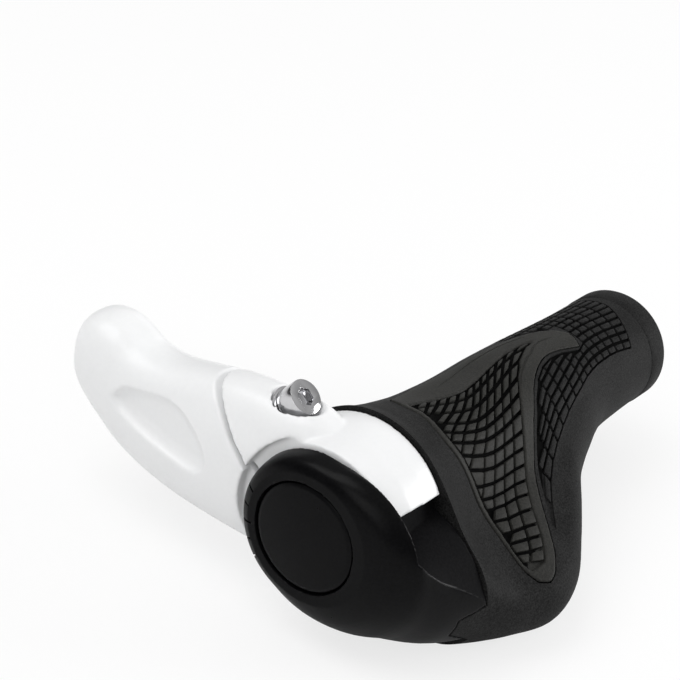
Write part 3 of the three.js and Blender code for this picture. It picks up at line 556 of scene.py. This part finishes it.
def palm_field():
    """Nodes (place, angle) and cells of the blocks on the leaf."""
    nodes, rows = [], []
    for at, near, far in block_lines:
        line = on_form(*on_block_line(at, np.linspace(0, 1, 13)).T)
        width = np.linalg.norm(np.diff(line, axis=0), axis=1).sum()
        row = []
        for v in spaced(far, near, palm_pitch / width):
            row.append(len(nodes))
            nodes.append(on_block_line(at, v))
        rows.append(row)
    cells = [cell for row, following in zip(rows, rows[1:])
             for cell in cells_between(row, following)]
    return np.array(nodes), cells


def side_field():
    """Nodes and cells of the small blocks beside the leaf."""
    size = lambda column, x: float(between_stations(side_lines, column, np.array(float(x))))
    nodes = []
    def node(x, angle):
        skew = 0.00055 * max(x - 108, 0) ** 2 * min(136 - angle, 50)
        nodes.append((x + skew, angle))
        return len(nodes) - 1
    stations = [56, *np.linspace(60, 95, 8), *np.linspace(98.4, 122.2, 8)]
    rows = []
    for x in stations:
        outer, pitch = size(1, x), size(2, x)
        inner = size(3, x) if x < leaf_nose else outer - side_rows * pitch
        rows.append([node(x, angle) for angle in spaced(outer, inner, pitch)])
    first = next(i for i, x in enumerate(stations) if x > leaf_nose)
    cells = []
    for i in range(1, len(rows)):
        count = len(rows[i - 1]) - 1 if i == first else None
        cells += cells_between(rows[i - 1], rows[i], count)
    lowest = nodes[rows[first][side_rows]][1]
    following, i = rows[first][::-1], first - 1
    while stations[i] > front_rows_end:
        front = spaced(lowest, size(4, stations[i]), size(2, stations[first]))
        row = [node(stations[i], angle) for angle in front]
        cells += cells_between(following, row, len(row) - 1 if i == first - 1 else None)
        following, i = row, i - 1
    return np.array(nodes), cells


palm_nodes, palm_cells = palm_field()
side_nodes, side_cells = side_field()
print(len(palm_cells), "blocks on the palm,", len(side_cells), "beside it")

# %% [markdown]
# ### Blocks from the rows
# In the mould each joint is a small ridge. Here every cell is inset on its own, what lies
# between is deleted and the rest thickened. Cells too narrow for a block stay plain.

# %% Sheets and blocks from the rows
block_root = 0.15


def field_sheet(name, nodes, cells, lift):
    """The cells as one open sheet on the form."""
    mesh = bpy.data.meshes.new(name)
    places = on_form(nodes[:, 0], nodes[:, 1], lift) * MM
    mesh.from_pydata(places.tolist(), [], cells)
    mesh.validate()
    sheet = bpy.data.objects.new(name, mesh)
    bpy.context.scene.collection.objects.link(sheet)
    return sheet


def field_cutter(name, nodes, cells, deep, grow):
    """A closed solid over the whole field, used to sink it."""
    return skin(name, lambda lift: field_sheet(name, nodes, cells, lift), -deep, 2, grow)


def block_width(corners):
    """Area of a cell over its longest side, in millimetres."""
    sides = np.linalg.norm(np.roll(corners, -1, 0) - corners, axis=1)
    fan = np.cross(corners[1:-1] - corners[0], corners[2:] - corners[0])
    return np.linalg.norm(fan, axis=1).sum() / 2 / sides.max()


def field_blocks(name, nodes, cells, sink, crown, round_by):
    """One rounded block in each cell: the cells are inset one by one, the joints between them
    deleted, and what is left is thickened and its edges rounded."""
    flat = on_form(nodes[:, 0], nodes[:, 1])
    wide = [cell for cell in cells if block_width(flat[cell]) > narrowest_block]
    sheet = field_sheet(name, nodes, wide, -sink - block_root)
    edit(sheet, "FACE", "SELECT")
    bpy.ops.mesh.normals_make_consistent(inside=False)
    bpy.ops.mesh.inset(thickness=groove / 2 * MM, use_individual=True, use_even_offset=True)
    bpy.ops.mesh.select_all(action="INVERT")
    bpy.ops.mesh.delete(type="FACE")
    bpy.ops.object.mode_set(mode="OBJECT")
    inward = sum(f.normal.dot(Vector((0, f.center.y, f.center.z))) for f in sheet.data.polygons)
    if inward < 0:
        sheet.data.flip_normals()
    bpy.ops.object.modifier_add(type="SOLIDIFY")
    step = sheet.modifiers[-1]
    step.thickness = (sink + block_root + crown) * MM
    step.offset = 1
    bpy.ops.object.modifier_apply(modifier=step.name)
    bevel(sheet, round_by, 2, 40)
    print(f"  {name}: {len(sheet.data.polygons)} faces on {len(wide)} blocks")
    return shade(sheet, 40)


# %% [markdown]
# ## The rubber body
# On the real grip the black rubber is moulded over a hard sleeve in one shot, with hollows left
# for the inlays. Here the form's solid gets a raised ring at its inner end and a tongue at the
# wing's edge, then the bore, the two inlay pockets and the sunk side field are cut.

# %% Rubber body
tongue_tip = 17.6
well_out = 60
pocket_rim = 0.12
side_sink = 0.5


def wing_tongue(grow):
    """The tongue that reaches between the cover's two pockets at the wing's edge."""
    out = np.array([0, math.cos(math.radians(wing_angle)), math.sin(math.radians(wing_angle))])
    bar = np.array([1.0, 0, 0])
    aside = np.cross(out, bar)
    flat = [(tongue_tip - grow, -2.5 - grow / 2), (body_start + 1, -6 - grow),
            (body_start + 1, 6 + grow), (tongue_tip - grow, 2.5 + grow / 2)]
    rings = [[bar * x + aside * s + out * reach for x, s in flat] for reach in (27 - grow, well_out)]
    return ring_tube("tongue", rings)


body = form_solid("rubber_grip_body", body_start, ring_start, 140, 168)
tongue_form = form_solid("tongue_form", 16.6, body_start + 2, 14, 168)
combine(tongue_form, wing_tongue(0), "INTERSECT")
combine(body, tongue_form, "UNION")
end_ring = spun("end_ring", [
    (ring_start - 1, 10), (grip_length, 10), (grip_length, end_ring_radius - 1.1),
    (grip_length - 0.35, end_ring_radius - 0.35), (grip_length - 1.1, end_ring_radius),
    (ring_start + 0.5, end_ring_radius), (ring_start + 0.1, end_ring_radius - 0.2),
    (ring_start - 1, end_ring_radius - 0.9)])
combine(body, end_ring, "UNION")
cut(body, along_bar("bore", body_start - 1, grip_length - core_inset, core_radius + gap))
cut(body, along_bar("mouth", grip_length - 3, grip_length + 1, bar_radius))
for lower in (False, True):
    cut(body, leaf_solid("pocket", lower, -inlay_depth - gap, 3, gap))
cut(body, field_cutter("side_pocket", side_nodes, side_cells, side_sink, pocket_rim))
shade(body, 35)
side_blocks = field_blocks("side_grip_blocks", side_nodes, side_cells, side_sink, 0.1, 0.2)

# %% [markdown]
# ## The palm inlays
# The upper one stands a little proud of the black rubber, with a smooth border round the sunk
# field of blocks. The lower one is smooth. Their edges are rounded as moulded rubber is.

# %% Palm inlays
palm_sink = 0.7
upper_inlay = leaf_solid("palm_inlay_top", False, -inlay_depth, inlay_proud, 0)
cut(upper_inlay, field_cutter("palm_pocket", palm_nodes, palm_cells, palm_sink, pocket_rim))
round_over(upper_inlay, 0.32, 2)


def moulded_line(name, path, width):
    """A thin round bead along a path on the leaf, its ends tapered, to press a line with."""
    t = np.linspace(0, 1, 61)
    flat = curve_at(np.array(path), t)
    places = leaf(flat[:, 0], flat[:, 1])
    middle = on_form(places[:, 0], places[:, 1], inlay_proud + 0.05)
    above = on_form(places[:, 0], places[:, 1], inlay_proud + 1.05) - middle
    aside = np.cross(unit(np.gradient(middle, axis=0)), above)
    radius = width / 2 * np.minimum(1, 0.15 + 6 * np.minimum(t, t[::-1]))
    turn = np.linspace(0, 2 * np.pi, 10, endpoint=False)
    rings = (middle[:, None] + radius[:, None, None]
             * (aside[:, None] * np.cos(turn)[:, None] + above[:, None] * np.sin(turn)[:, None]))
    return ring_tube(name, rings)


far_line = [(0.667, 0.789), (0.738, 0.797), (0.823, 0.837), (0.864, 0.849), (0.921, 0.83),
            (0.948, 0.849)]
front_line = [(0.857, 0.25), (0.87, 0.33), (0.894, 0.399), (0.928, 0.505), (0.955, 0.587),
              (0.962, 0.686)]
for path, width in ((far_line, 0.75), (front_line, 0.55)):
    cut(upper_inlay, moulded_line("line", path, width))
shade(upper_inlay, 60)
palm_blocks = field_blocks("palm_grip_blocks", palm_nodes, palm_cells, palm_sink, inlay_proud, 0.26)
lower_inlay = leaf_solid("palm_inlay_underside", True, -inlay_depth, inlay_proud, 0)
round_over(lower_inlay, 0.4, 2)
shade(lower_inlay, 60)

# %% [markdown]
# ## The end cover
# A hard black shell closes the outer end round the plug and frames the clamp. It is the same
# form, cut open above and below for the bar end, with pockets for the clamp's two tails.

# %% End cover
floor_radius = 18.9
floor_angle = 134.0
channel_start = band_start - gap
cutter_radius = 90
pocket_sections = 41
pocket_points = 31


def wedge(name, low, high, start, end):
    """A wedge round the bar's axis between two angles, to cut an opening with."""
    turn = np.radians([start, (start + end) / 2, end])
    corners = [(0, 0)] + [(cutter_radius * math.cos(a), cutter_radius * math.sin(a)) for a in turn]
    return prism(name, corners, low, high)


# place, four angles across the hollow, radius at the second and at the third of them
pocket_stations = np.array([
    (channel_start, 166, 166.5, 167, 167.5, 21.4, 23.9), (8.5, 164.5, 168, 171, 174, 22.3, 25.3),
    (12.4, 162.5, 168.5, 175, 181, 23, 26.8), (18, 160, 168.5, 178, 187, 23.6, 28.6),
    (body_start - gap + 0.01, 157.5, 167, 180, 193, 24.2, 30.4),
])


def tail_pocket(lower):
    """The pocket in the cover that one tail of the clamp moves into."""
    def place(x, angle, r):
        turn = math.radians(2 * wing_angle - angle if lower else angle)
        return np.array([x, r * math.cos(turn), r * math.sin(turn)])
    rings = []
    for x in np.linspace(pocket_stations[0, 0], pocket_stations[-1, 0], pocket_sections):
        a0, a1, a2, a3, r0, r1 = columns_at(pocket_stations, x)
        crest = place(x, a3, float(form_radius(x, a3)))
        rise = place(x, a2, r1)
        beyond = crest + (crest - rise) / np.linalg.norm(crest - rise) * well_out
        hollow = curve_at(np.array([place(x, a0, floor_radius), place(x, a1, r0), rise, crest]),
                          np.linspace(0, 1, pocket_points))
        rings.append([*hollow, beyond, place(x, floor_angle, cutter_radius),
                      place(x, floor_angle, floor_radius - 1.5)])
    pocket = ring_tube("tail_pocket", rings)
    core = along_bar("core", channel_start - 1, body_start + 1, floor_radius, fine_turns)
    return cut(pocket, core)


cover_end = body_start - gap
rim = np.concatenate([np.linspace(0, 1, 7) ** 1.6 * 2.4, np.linspace(3.2, cover_end, 26)])
rim_points = np.linspace(0, 1, 180, endpoint=False)
ring_radius = 17.1
plug_radius = 13.2
plug_thickness = 2.4
cover = ring_tube("end_cover_shell", [round_section(x, rim_points) for x in rim])
cut(
    cover,
    along_bar("plug_seat", -1, plug_thickness + gap, plug_radius + gap),
    along_bar("core_way", -1, channel_start + 1, core_radius + gap),
    along_bar("ring_way", channel_start, cover_end + 1, ring_radius + gap),
    wedge("lower_opening", channel_start, cover_end + 1, 2 * wing_angle - floor_angle - 360.2, 0.5),
    wedge("upper_opening", channel_start, cover_end + 1, -0.5, floor_angle + 0.2),
    tail_pocket(False),
    tail_pocket(True),
    wing_tongue(gap),
)
round_over(cover, 0.33, 2)
print("the cover reaches", np.round(points_of(cover).max(0) / MM, 1), "mm")

# %% [markdown]
# ### The scale
# Five lines on the rim, the middle one longer, show how far the bar end is turned. They are
# cut with thin slanting boxes after the rounding, so that they stay crisp.

# %% Scale marks on the cover's rim
mark_slope = math.radians(-30)
mark_radius = 15.4
mark_step = 15
for i in range(5):
    inner = 14.2 if i == 2 else 15.6
    corners = [(x, r - mark_radius) for x, r in ((-1, inner), (0.45, inner), (0.45, 21), (-1, 21))]
    slope = [(x * math.cos(mark_slope) - y * math.sin(mark_slope),
              x * math.sin(mark_slope) + y * math.cos(mark_slope) + mark_radius) for x, y in corners]
    roll = math.radians(mark_step * (1 - i))
    rings = [[(x, y * math.cos(roll) - z * math.sin(roll), y * math.sin(roll) + z * math.cos(roll))
              for x, y in slope] for z in (-0.25, 0.25)]
    cut(cover, ring_tube("mark", rings))
shade(cover, 35)

# %% [markdown]
# ## The end plug
# A round cap pushed into the bar's end. It is spun from its profile: a flat face with a soft edge
# and a hollow stem with three ribs, which two crossed slits let spring.

# %% End plug
stem_length = 17
stem_end = plug_thickness + stem_length
profile = [(0, 0), (0, plug_radius - 1.3), (0.12, plug_radius - 0.75), (0.45, plug_radius - 0.2),
           (0.9, plug_radius), (plug_thickness, plug_radius), (plug_thickness, 9)]
for k in (1, 2, 3):
    x = plug_thickness + stem_length * k / 4
    profile += [(x - 0.8, 8.9), (x - 0.8, 9.5), (x + 0.9, 8.9)]
profile += [(stem_end, 8.4), (stem_end, 7.4), (plug_thickness + 1, 7.4), (plug_thickness + 1, 0)]
plug = spun("bar_end_plug", profile)
slit = [(-plug_radius, -1), (plug_radius, -1), (plug_radius, 1), (-plug_radius, 1)]
for corners in (slit, [(-z, y) for y, z in slit]):
    cut(plug, prism("slit", corners, plug_thickness + 5, stem_end + 1))
shade(plug, 35)

# %% [markdown]
# ## The bar end
# The bar end is one moulding: a hollow-sided horn to hold when climbing, and the ring that clamps
# it. The horn is lofted through rounded sections, the ring is spun, and the split, the bolt's
# hole and the nut's slot are cut as the mould's cores would leave them.

# %% Sections of the horn: place along Y, centre (x, z), half sizes (x, z)
horn = np.array([
    (-2, 14.4, 1, 9, 17.5), (5, 14, 2.2, 9.5, 18.8), (12, 13.6, 3.4, 10, 19.6),
    (22, 13.4, 3, 10.2, 19.6), (32, 13.4, 2.2, 10.2, 19), (42, 13.5, 0.9, 10.2, 17.4),
    (52, 13.6, 0.4, 10.3, 15.2), (60, 13.8, 1.6, 10.4, 13.8), (66.5, 14, 4.6, 10.3, 13.2),
    (72, 14.2, 6.6, 9.8, 11.8), (76.5, 14.3, 7.6, 8, 9.2), (79.5, 14.3, 8, 4, 4.6),
])
hollow_depth = 3.7
hollow_flare = 3.9
split_width = 1.4


def horn_solid():
    """The horn's solid: rounded boxes as sections, close together near its tip."""
    def place(u, v):
        y = horn[0, 0] + (horn[-1, 0] - horn[0, 0]) * (1 - (1 - u) ** 1.35)
        turn = 2 * np.pi * v
        x, z, width, height = columns_at(horn, y)
        c, s = np.cos(turn), np.sin(turn)
        return np.stack([x + width * np.sign(c) * np.abs(c) ** 0.8, y,
                         z + height * np.sign(s) * np.abs(s) ** 0.8], -1)
    return grid_tube("bar_end_horn", 80, 112, place)


def horn_hollow(side):
    """The long tapered hollow: a shallow floor whose walls flare out to the surface."""
    floor = np.array([(58, 4.8), (52, 6.9), (45.6, 8.4), (40, 6), (35.5, 0.7), (41, 0.4),
                      (51, 2.4), (58, 4.8)])
    outline = curve_at(floor, np.linspace(0, 1, 96, endpoint=False))
    run = np.roll(outline, -1, 0) - np.roll(outline, 1, 0)
    out = unit(np.column_stack([run[:, 1], -run[:, 0]]))
    centre = outline.mean(0)
    if ((outline - centre) * out).sum() < 0:
        out = -out
    rings = []
    for t in np.linspace(0, 1, 7):
        depth = hollow_depth * math.cos(t * math.pi / 2)
        grown = outline + out * hollow_flare * math.sin(t * math.pi / 2)
        x = 1.8 + depth if side < 0 else 24.4 - depth
        rings.append(np.column_stack([np.full(len(grown), x), grown]))
    last = rings[-1].copy()
    last[:, 0] += -6 if side < 0 else 6
    return ring_tube("hollow", rings + [last])


def clamp_split():
    """The curved slot that lets the clamp close."""
    path = np.array([(10, -2), (16, 2.2), (20, 5.2), (22.8, 7.6), (25.5, 9.9), (28.6, 13.2),
                     (32.3, 16.6), (36.3, 19.6), (41, 23)])
    t = np.linspace(0, 1, 41)
    line = curve_at(path, t)
    run = unit(np.gradient(line, axis=0))
    aside = np.column_stack([-run[:, 1], run[:, 0]]) * (split_width / 2)
    return prism("split", np.concatenate([line + aside, (line - aside)[::-1]]), -8, 32)


# %% [markdown]
# ### The clamp bolt's axis
# The bolt draws the clamp shut across the split. Seat, hole, washer and nut lie on one leaning
# line, so that line is set once and everything is placed along it.

# %% The clamp bolt's axis
hole_radius = 2.8
bolt_lean = math.radians(52)
bolt_axis = np.array([0, -math.cos(bolt_lean), math.sin(bolt_lean)])
bolt_top = np.array([13.5, 14.9, 24.2])


def on_bolt(name, low, high, radius, turns=64):
    """A rod on the bolt's axis, places counted from the top of its head."""
    return rod(name, bolt_top + bolt_axis * low, bolt_top + bolt_axis * high, radius, turns)


# %% [markdown]
# ### The bar end in one piece
# The ring is thick beside the horn and thins out to a lip, whose two ends lie in the cover's
# pockets. Solids are added first, then cut, and all edges are rounded at once at the end.

# %% The bar end in one piece
middle = (band_start + band_end) / 2
band_radius = 21.6
thick_end = 118
tail_end = 147


def band_profile(inner):
    """The ring's section, a little crowned, from an inner radius outwards."""
    return [(band_start, inner), (band_end, inner), (band_end, band_radius), (middle + 4, 21.7),
            (middle - 2, 21.3), (band_start, 20.2)]


bar_end = horn_solid()
recess = along_bar("recess", -5, band_start, band_radius, fine_turns)
cut(bar_end, horn_hollow(-1), horn_hollow(1), recess)
thick = spun("thick_band", band_profile(ring_radius - 1), fine_turns)
cut(thick, wedge("off", 0, band_end + 5, thick_end, 2 * wing_angle - thick_end))
lip = spun("lip_band", band_profile(floor_radius + gap), fine_turns)
cut(lip, wedge("off", band_start - 1, band_end + 1, tail_end, 2 * wing_angle - tail_end))
combine(bar_end, thick, "UNION")
combine(bar_end, lip, "UNION")
cut(bar_end, along_bar("way", -5, 30, ring_radius - 1, fine_turns))
ring_profile = [(band_start, core_radius + gap), (band_end, core_radius + gap),
                (band_end, ring_radius), (band_start, ring_radius)]
clamp_ring = spun("clamp_ring", ring_profile, fine_turns)
combine(bar_end, clamp_ring, "UNION")
seat, bolt_hole = on_bolt("seat", -6.6, 20, 5.2), on_bolt("bolt_hole", -28.5, 0, hole_radius)
cut(bar_end, clamp_split(), seat, bolt_hole)
nut_place = bolt_top - bolt_axis * 24.6
aside = np.cross(bolt_axis, (1, 0, 0))
rings = [[nut_place + np.array([x, 0, 0]) + aside * s + bolt_axis * d
          for x, s in ((-4.94, -4.3), (30, -4.3), (30, 4.3), (-4.94, 4.3))] for d in (-2.3, 2.3)]
cut(bar_end, ring_tube("nut_slot", rings))
round_over(bar_end, 0.42, 5)
shade(bar_end, 60)

# %% [markdown]
# ## Bolt and washer
# A socket head cap screw closes the clamp. Its head is a short rod with a hexagonal socket, and
# bevelled edges catch the light as turned steel does.

# %% Bolt and washer
bolt = on_bolt("clamp_screw", -5, 0, 4.25)
cut(bolt, on_bolt("socket", -2.6, 1, 2.3, 6))
combine(bolt, on_bolt("shank", -27, -4.9, 2.5, 48), "UNION")
washer = on_bolt("screw_washer", -6.3, -5.3, 4.9)
cut(washer, on_bolt("hole", -12, 0, hole_radius, 48))
for piece, width in ((bolt, 0.45), (washer, 0.15)):
    bevel(piece, width, 3, 50)
    shade(piece, 40)

# %% [markdown]
# ## Finishes
# Moulded rubber is matt and finely pitted, the hard shell is satin, and the bar end is a glossy
# white plastic. Each finish has its own small grain and slight changes of shade and gloss.

# %% A moulded finish
cloud_scale = 140
cloud_share = 0.25
dent_strength = 0.6


def add_node(tree, kind, values):
    """Adds a node to a shader tree and sets some of its inputs."""
    node = tree.nodes.new(kind)
    for socket, value in values.items():
        node.inputs[socket].default_value = value
    return node


def colour_ramp(tree, *stops):
    """A ramp between two stops, each a place and a colour."""
    ramp = tree.nodes.new("ShaderNodeValToRGB")
    for element, (place, colour) in zip(ramp.color_ramp.elements, stops):
        element.position = place
        element.color = (*colour, 1)
    return ramp


def moulded(name, colour, shade_of, rough, grain, depth, specular=0.5, coat=0.0):
    """Colour and gloss vary over some millimetres, and a fine grain dents the surface."""
    finish = bpy.data.materials.new(name)
    finish.use_nodes = True
    tree = finish.node_tree
    link = tree.links.new
    shader = tree.nodes["Principled BSDF"]
    shader.inputs["Specular IOR Level"].default_value = specular
    shader.inputs["Coat Weight"].default_value = coat
    place = tree.nodes.new("ShaderNodeTexCoord")
    cloud = add_node(tree, "ShaderNodeTexNoise", {"Scale": cloud_scale, "Detail": 4})
    fine = add_node(tree, "ShaderNodeTexNoise", {"Scale": grain, "Detail": 3})
    for noise in (cloud, fine):
        link(place.outputs["Object"], noise.inputs["Vector"])
    some_cloud = add_node(tree, "ShaderNodeMath", {1: cloud_share})
    some_cloud.operation = "MULTIPLY"
    link(cloud.outputs["Fac"], some_cloud.inputs[0])
    blend = add_node(tree, "ShaderNodeMath", {1: 1 - cloud_share})
    blend.operation = "MULTIPLY_ADD"
    link(fine.outputs["Fac"], blend.inputs[0])
    link(some_cloud.outputs[0], blend.inputs[2])
    ramp = colour_ramp(tree, (0.36, shade_of), (0.66, colour))
    link(blend.outputs[0], ramp.inputs["Fac"])
    link(ramp.outputs["Color"], shader.inputs["Base Color"])
    gloss = add_node(tree, "ShaderNodeMapRange", {"To Min": rough[0], "To Max": rough[1]})
    link(cloud.outputs["Fac"], gloss.inputs["Value"])
    link(gloss.outputs["Result"], shader.inputs["Roughness"])
    bump = add_node(tree, "ShaderNodeBump", {"Strength": dent_strength, "Distance": depth * MM})
    link(fine.outputs["Fac"], bump.inputs["Height"])
    link(bump.outputs["Normal"], shader.inputs["Normal"])
    return finish


black_rubber = moulded("black_rubber", (0.024, 0.024, 0.024), (0.003, 0.003, 0.003),
                       (0.55, 0.75), 2600, 0.14, 0.1)
# The joints' finish is painted shade: near-black and dull, for the floors between the blocks.
joint_painted_shade = moulded("joint_painted_shade", (0.003, 0.003, 0.003), (0.001, 0.001, 0.001),
                       (0.8, 0.95), 2200, 0.05, 0.05)
grey_rubber = moulded("grey_rubber", (0.03, 0.0295, 0.0265), (0.013, 0.013, 0.0118),
                      (0.5, 0.7), 2200, 0.08, 0.16)
black_shell = moulded("black_shell", (0.003, 0.003, 0.0034), (0.001, 0.001, 0.0013),
                      (0.24, 0.36), 1500, 0.02, 0.08)
white_shell = moulded("white_shell", (0.85, 0.855, 0.86), (0.835, 0.84, 0.845),
                      (0.3, 0.38), 900, 0.004, 0.4, 0.15)
pocket_shell = moulded("pocket_shell", (0.006, 0.006, 0.0065), (0.003, 0.003, 0.0035),
                       (0.6, 0.75), 1800, 0.05, 0.05)
core_shell = moulded("core_shell", (0.03, 0.03, 0.032), (0.018, 0.018, 0.02),
                     (0.5, 0.65), 1200, 0.03)
print(len(bpy.data.materials), "materials so far")

# %% [markdown]
# ### Steel
# Screw, washer and nut are bright steel: the metallic shader, with only its gloss varied.

# %% Steel
def turned_steel(name):
    """Bright steel, its gloss varied by a fine noise that is laid out from the bolt's head."""
    finish = bpy.data.materials.new(name)
    finish.use_nodes = True
    tree = finish.node_tree
    link = tree.links.new
    shader = tree.nodes["Principled BSDF"]
    shader.inputs["Metallic"].default_value = 1
    shader.inputs["Base Color"].default_value = (0.6, 0.6, 0.61, 1)
    place = tree.nodes.new("ShaderNodeTexCoord")
    moved = add_node(tree, "ShaderNodeMapping", {"Location": -Vector(bolt_top) * MM})
    noise = add_node(tree, "ShaderNodeTexNoise", {"Scale": 1800})
    gloss = add_node(tree, "ShaderNodeMapRange", {"To Min": 0.04, "To Max": 0.14})
    link(place.outputs["Object"], moved.inputs["Vector"])
    link(moved.outputs["Vector"], noise.inputs["Vector"])
    link(noise.outputs["Fac"], gloss.inputs["Value"])
    link(gloss.outputs["Result"], shader.inputs["Roughness"])
    return finish


steel = turned_steel("bolt_steel")

# %% [markdown]
# ## Hand the pieces over
# Each piece is given its finish and the body it moves with, and the measured piece it stands
# for, if any, is hidden.

# %% Finish, body and node of each piece
def hand_over(piece, finish, slot, body_name, *stands_for):
    piece.data.materials.clear()
    piece.data.materials.append(finish)
    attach(piece, body_name)
    if stands_for:
        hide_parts(*stands_for)
    faces = sum(len(face.vertices) - 2 for face in piece.data.polygons)
    print(f"{piece.name}: {faces} triangles")


hand_over(body, black_rubber, "black_rubber", "grip", "rubber_body")
hand_over(side_blocks, black_rubber, "black_rubber", "grip")
hand_over(upper_inlay, grey_rubber, "grey_rubber", "grip", "palm_inlay_upper")
hand_over(palm_blocks, grey_rubber, "grey_rubber", "grip")
hand_over(lower_inlay, grey_rubber, "grey_rubber", "grip", "palm_inlay_lower")
hand_over(cover, black_shell, "black_plastic", "grip", "end_cover")
hand_over(plug, black_shell, "black_plastic", "grip", "end_plug")
hand_over(bar_end, white_shell, "white_plastic", "bar_end_clamp", "bar_end")
hand_over(bolt, steel, "bolt_steel", "bar_end_clamp", "clamp_bolt")
hand_over(washer, steel, "bolt_steel", "bar_end_clamp", "bolt_washer")

# %% [markdown]
# ## Joints, pockets and hidden pieces
# Painted shade makes each joint's floor darker and duller than the block tops; the cover's pockets
# are matt. So faces below the outer form get a second finish. Sleeve and nut stay as measured.

# %% Joints, pockets and hidden pieces
def finish_below(piece, finish, deep, shallow):
    """Gives the faces that lie below the form, and face outwards, a finish of their own; on joint
    floors this finish is painted shade.
    """
    piece.data.materials.append(finish)
    centres = np.array([face.center[:] for face in piece.data.polygons]) / MM
    angle = np.degrees(np.arctan2(centres[:, 2], centres[:, 1]))
    lift = np.hypot(centres[:, 1], centres[:, 2]) - form_radius(centres[:, 0], angle)
    facing = np.array([face.normal[:] for face in piece.data.polygons])
    turn = np.radians(angle)
    outward = facing[:, 1] * np.cos(turn) + facing[:, 2] * np.sin(turn)
    low = (lift > deep) & (lift < shallow) & (outward > 0.2)
    piece.data.polygons.foreach_set("material_index", low.astype(np.int32))
    print(f"{piece.name}: {int(low.sum())} faces below the form")


# Painted shade on the floors of the joints in the side field and the palm field.
finish_below(body, joint_painted_shade, -1.2, -0.2)
finish_below(upper_inlay, joint_painted_shade, -2.6, -0.3)
finish_below(cover, pocket_shell, -20, -0.12)
for name, finish in (("core_sleeve", core_shell), ("clamp_nut", steel)):
    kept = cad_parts[name]
    kept.data.materials.clear()
    kept.data.materials.append(finish)

# %% [markdown]
# ## Floor, light and camera
# A pale floor lies just below the lowest point. To the camera it glows like the white paper of
# a product studio, and for all other rays it is plain paper, so the grip's shadow stays.

# %% Floor
lowest = cad_box[0][2]
floor_gap = 0.0002
glow_share = 0.75
bpy.ops.object.select_all(action="DESELECT")
bpy.ops.mesh.primitive_plane_add(size=6, location=(0, 0, lowest - floor_gap))
floor = named("floor")
bpy.ops.object.transform_apply(location=True, rotation=True, scale=True)
paper = bpy.data.materials.new("paper")
paper.use_nodes = True
tree = paper.node_tree
shader = tree.nodes["Principled BSDF"]
shader.inputs["Base Color"].default_value = (0.9, 0.9, 0.9, 1)
shader.inputs["Roughness"].default_value = 0.9
glow = add_node(tree, "ShaderNodeEmission", {"Strength": 1})
path = tree.nodes.new("ShaderNodeLightPath")
share = add_node(tree, "ShaderNodeMath", {1: glow_share})
share.operation = "MULTIPLY"
mix = tree.nodes.new("ShaderNodeMixShader")
tree.links.new(path.outputs["Is Camera Ray"], share.inputs[0])
tree.links.new(share.outputs[0], mix.inputs["Fac"])
tree.links.new(shader.outputs["BSDF"], mix.inputs[1])
tree.links.new(glow.outputs["Emission"], mix.inputs[2])
tree.links.new(mix.outputs["Shader"], tree.nodes["Material Output"].inputs["Surface"])
floor.data.materials.append(paper)
print("the floor lies at", round(lowest - floor_gap, 5), "m")

# %% [markdown]
# ### Light
# The room is brighter above than below, which shades round forms softly. Four large lamps add
# the highlights: above, in front, on the palm's side, and a weak one behind.

# %% Light
world = bpy.data.worlds.new("studio")
bpy.context.scene.world = world
world.use_nodes = True
tree = world.node_tree
sky = tree.nodes.new("ShaderNodeTexCoord")
height = tree.nodes.new("ShaderNodeSeparateXYZ")
room = colour_ramp(tree, (0.05, (0.1, 0.1, 0.1)), (0.9, (0.95, 0.95, 0.95)))
background = tree.nodes["Background"]
background.inputs["Strength"].default_value = 0.75
tree.links.new(sky.outputs["Generated"], height.inputs["Vector"])
tree.links.new(height.outputs["Z"], room.inputs["Fac"])
tree.links.new(room.outputs["Color"], background.inputs["Color"])


def soft_lamp(name, place, aim, size, power):
    """A square lamp that looks at a point: places and size in metres, power in watts."""
    lamp = bpy.data.lights.new(name, "AREA")
    lamp.shape = "SQUARE"
    lamp.size = size
    lamp.energy = power
    holder = bpy.data.objects.new(name, lamp)
    holder.location = place
    holder.rotation_euler = (Vector(aim) - Vector(place)).to_track_quat("-Z", "Y").to_euler()
    bpy.context.scene.collection.objects.link(holder)
    print(f"lamp {name}: {power} W")


soft_lamp("over_left", (-0.25, 0.35, 0.9), (0.06, 0, 0), 0.7, 4.4)
soft_lamp("front", (-0.8, -0.2, 0.5), (0.03, 0, 0), 0.6, 2)
soft_lamp("palm_side", (0.6, -0.5, 0.22), (0.12, 0, 0), 0.35, 3.2)
soft_lamp("behind", (1.0, 0.32, 0.26), (0.02, 0, 0), 0.45, 0.8)

# %% [markdown]
# ### Camera
# The camera looks down on the end cap from well away, with a long lens for slight perspective.
# Its three directions are given as vectors.

# %% Camera
sensor_width = 36
focal_length_pixels = 2000
picture_pixels = 680
right = Vector((0.59817, -0.78237, 0.17345))
down = Vector((-0.30981, -0.42538, -0.85033))
ahead = Vector((0.73906, 0.45491, -0.49684))
lens = bpy.data.cameras.new("camera")
lens.lens = sensor_width * focal_length_pixels / picture_pixels
lens.sensor_width = sensor_width
camera = bpy.data.objects.new("camera", lens)
columns = Matrix((right, -down, -ahead)).transposed().to_4x4()
camera.matrix_world = Matrix.Translation((-0.305865, -0.187442, 0.256517)) @ columns
bpy.context.scene.collection.objects.link(camera)
bpy.context.scene.camera = camera
bpy.context.scene.view_settings.view_transform = "Standard"
print("lens:", round(lens.lens, 1), "mm")
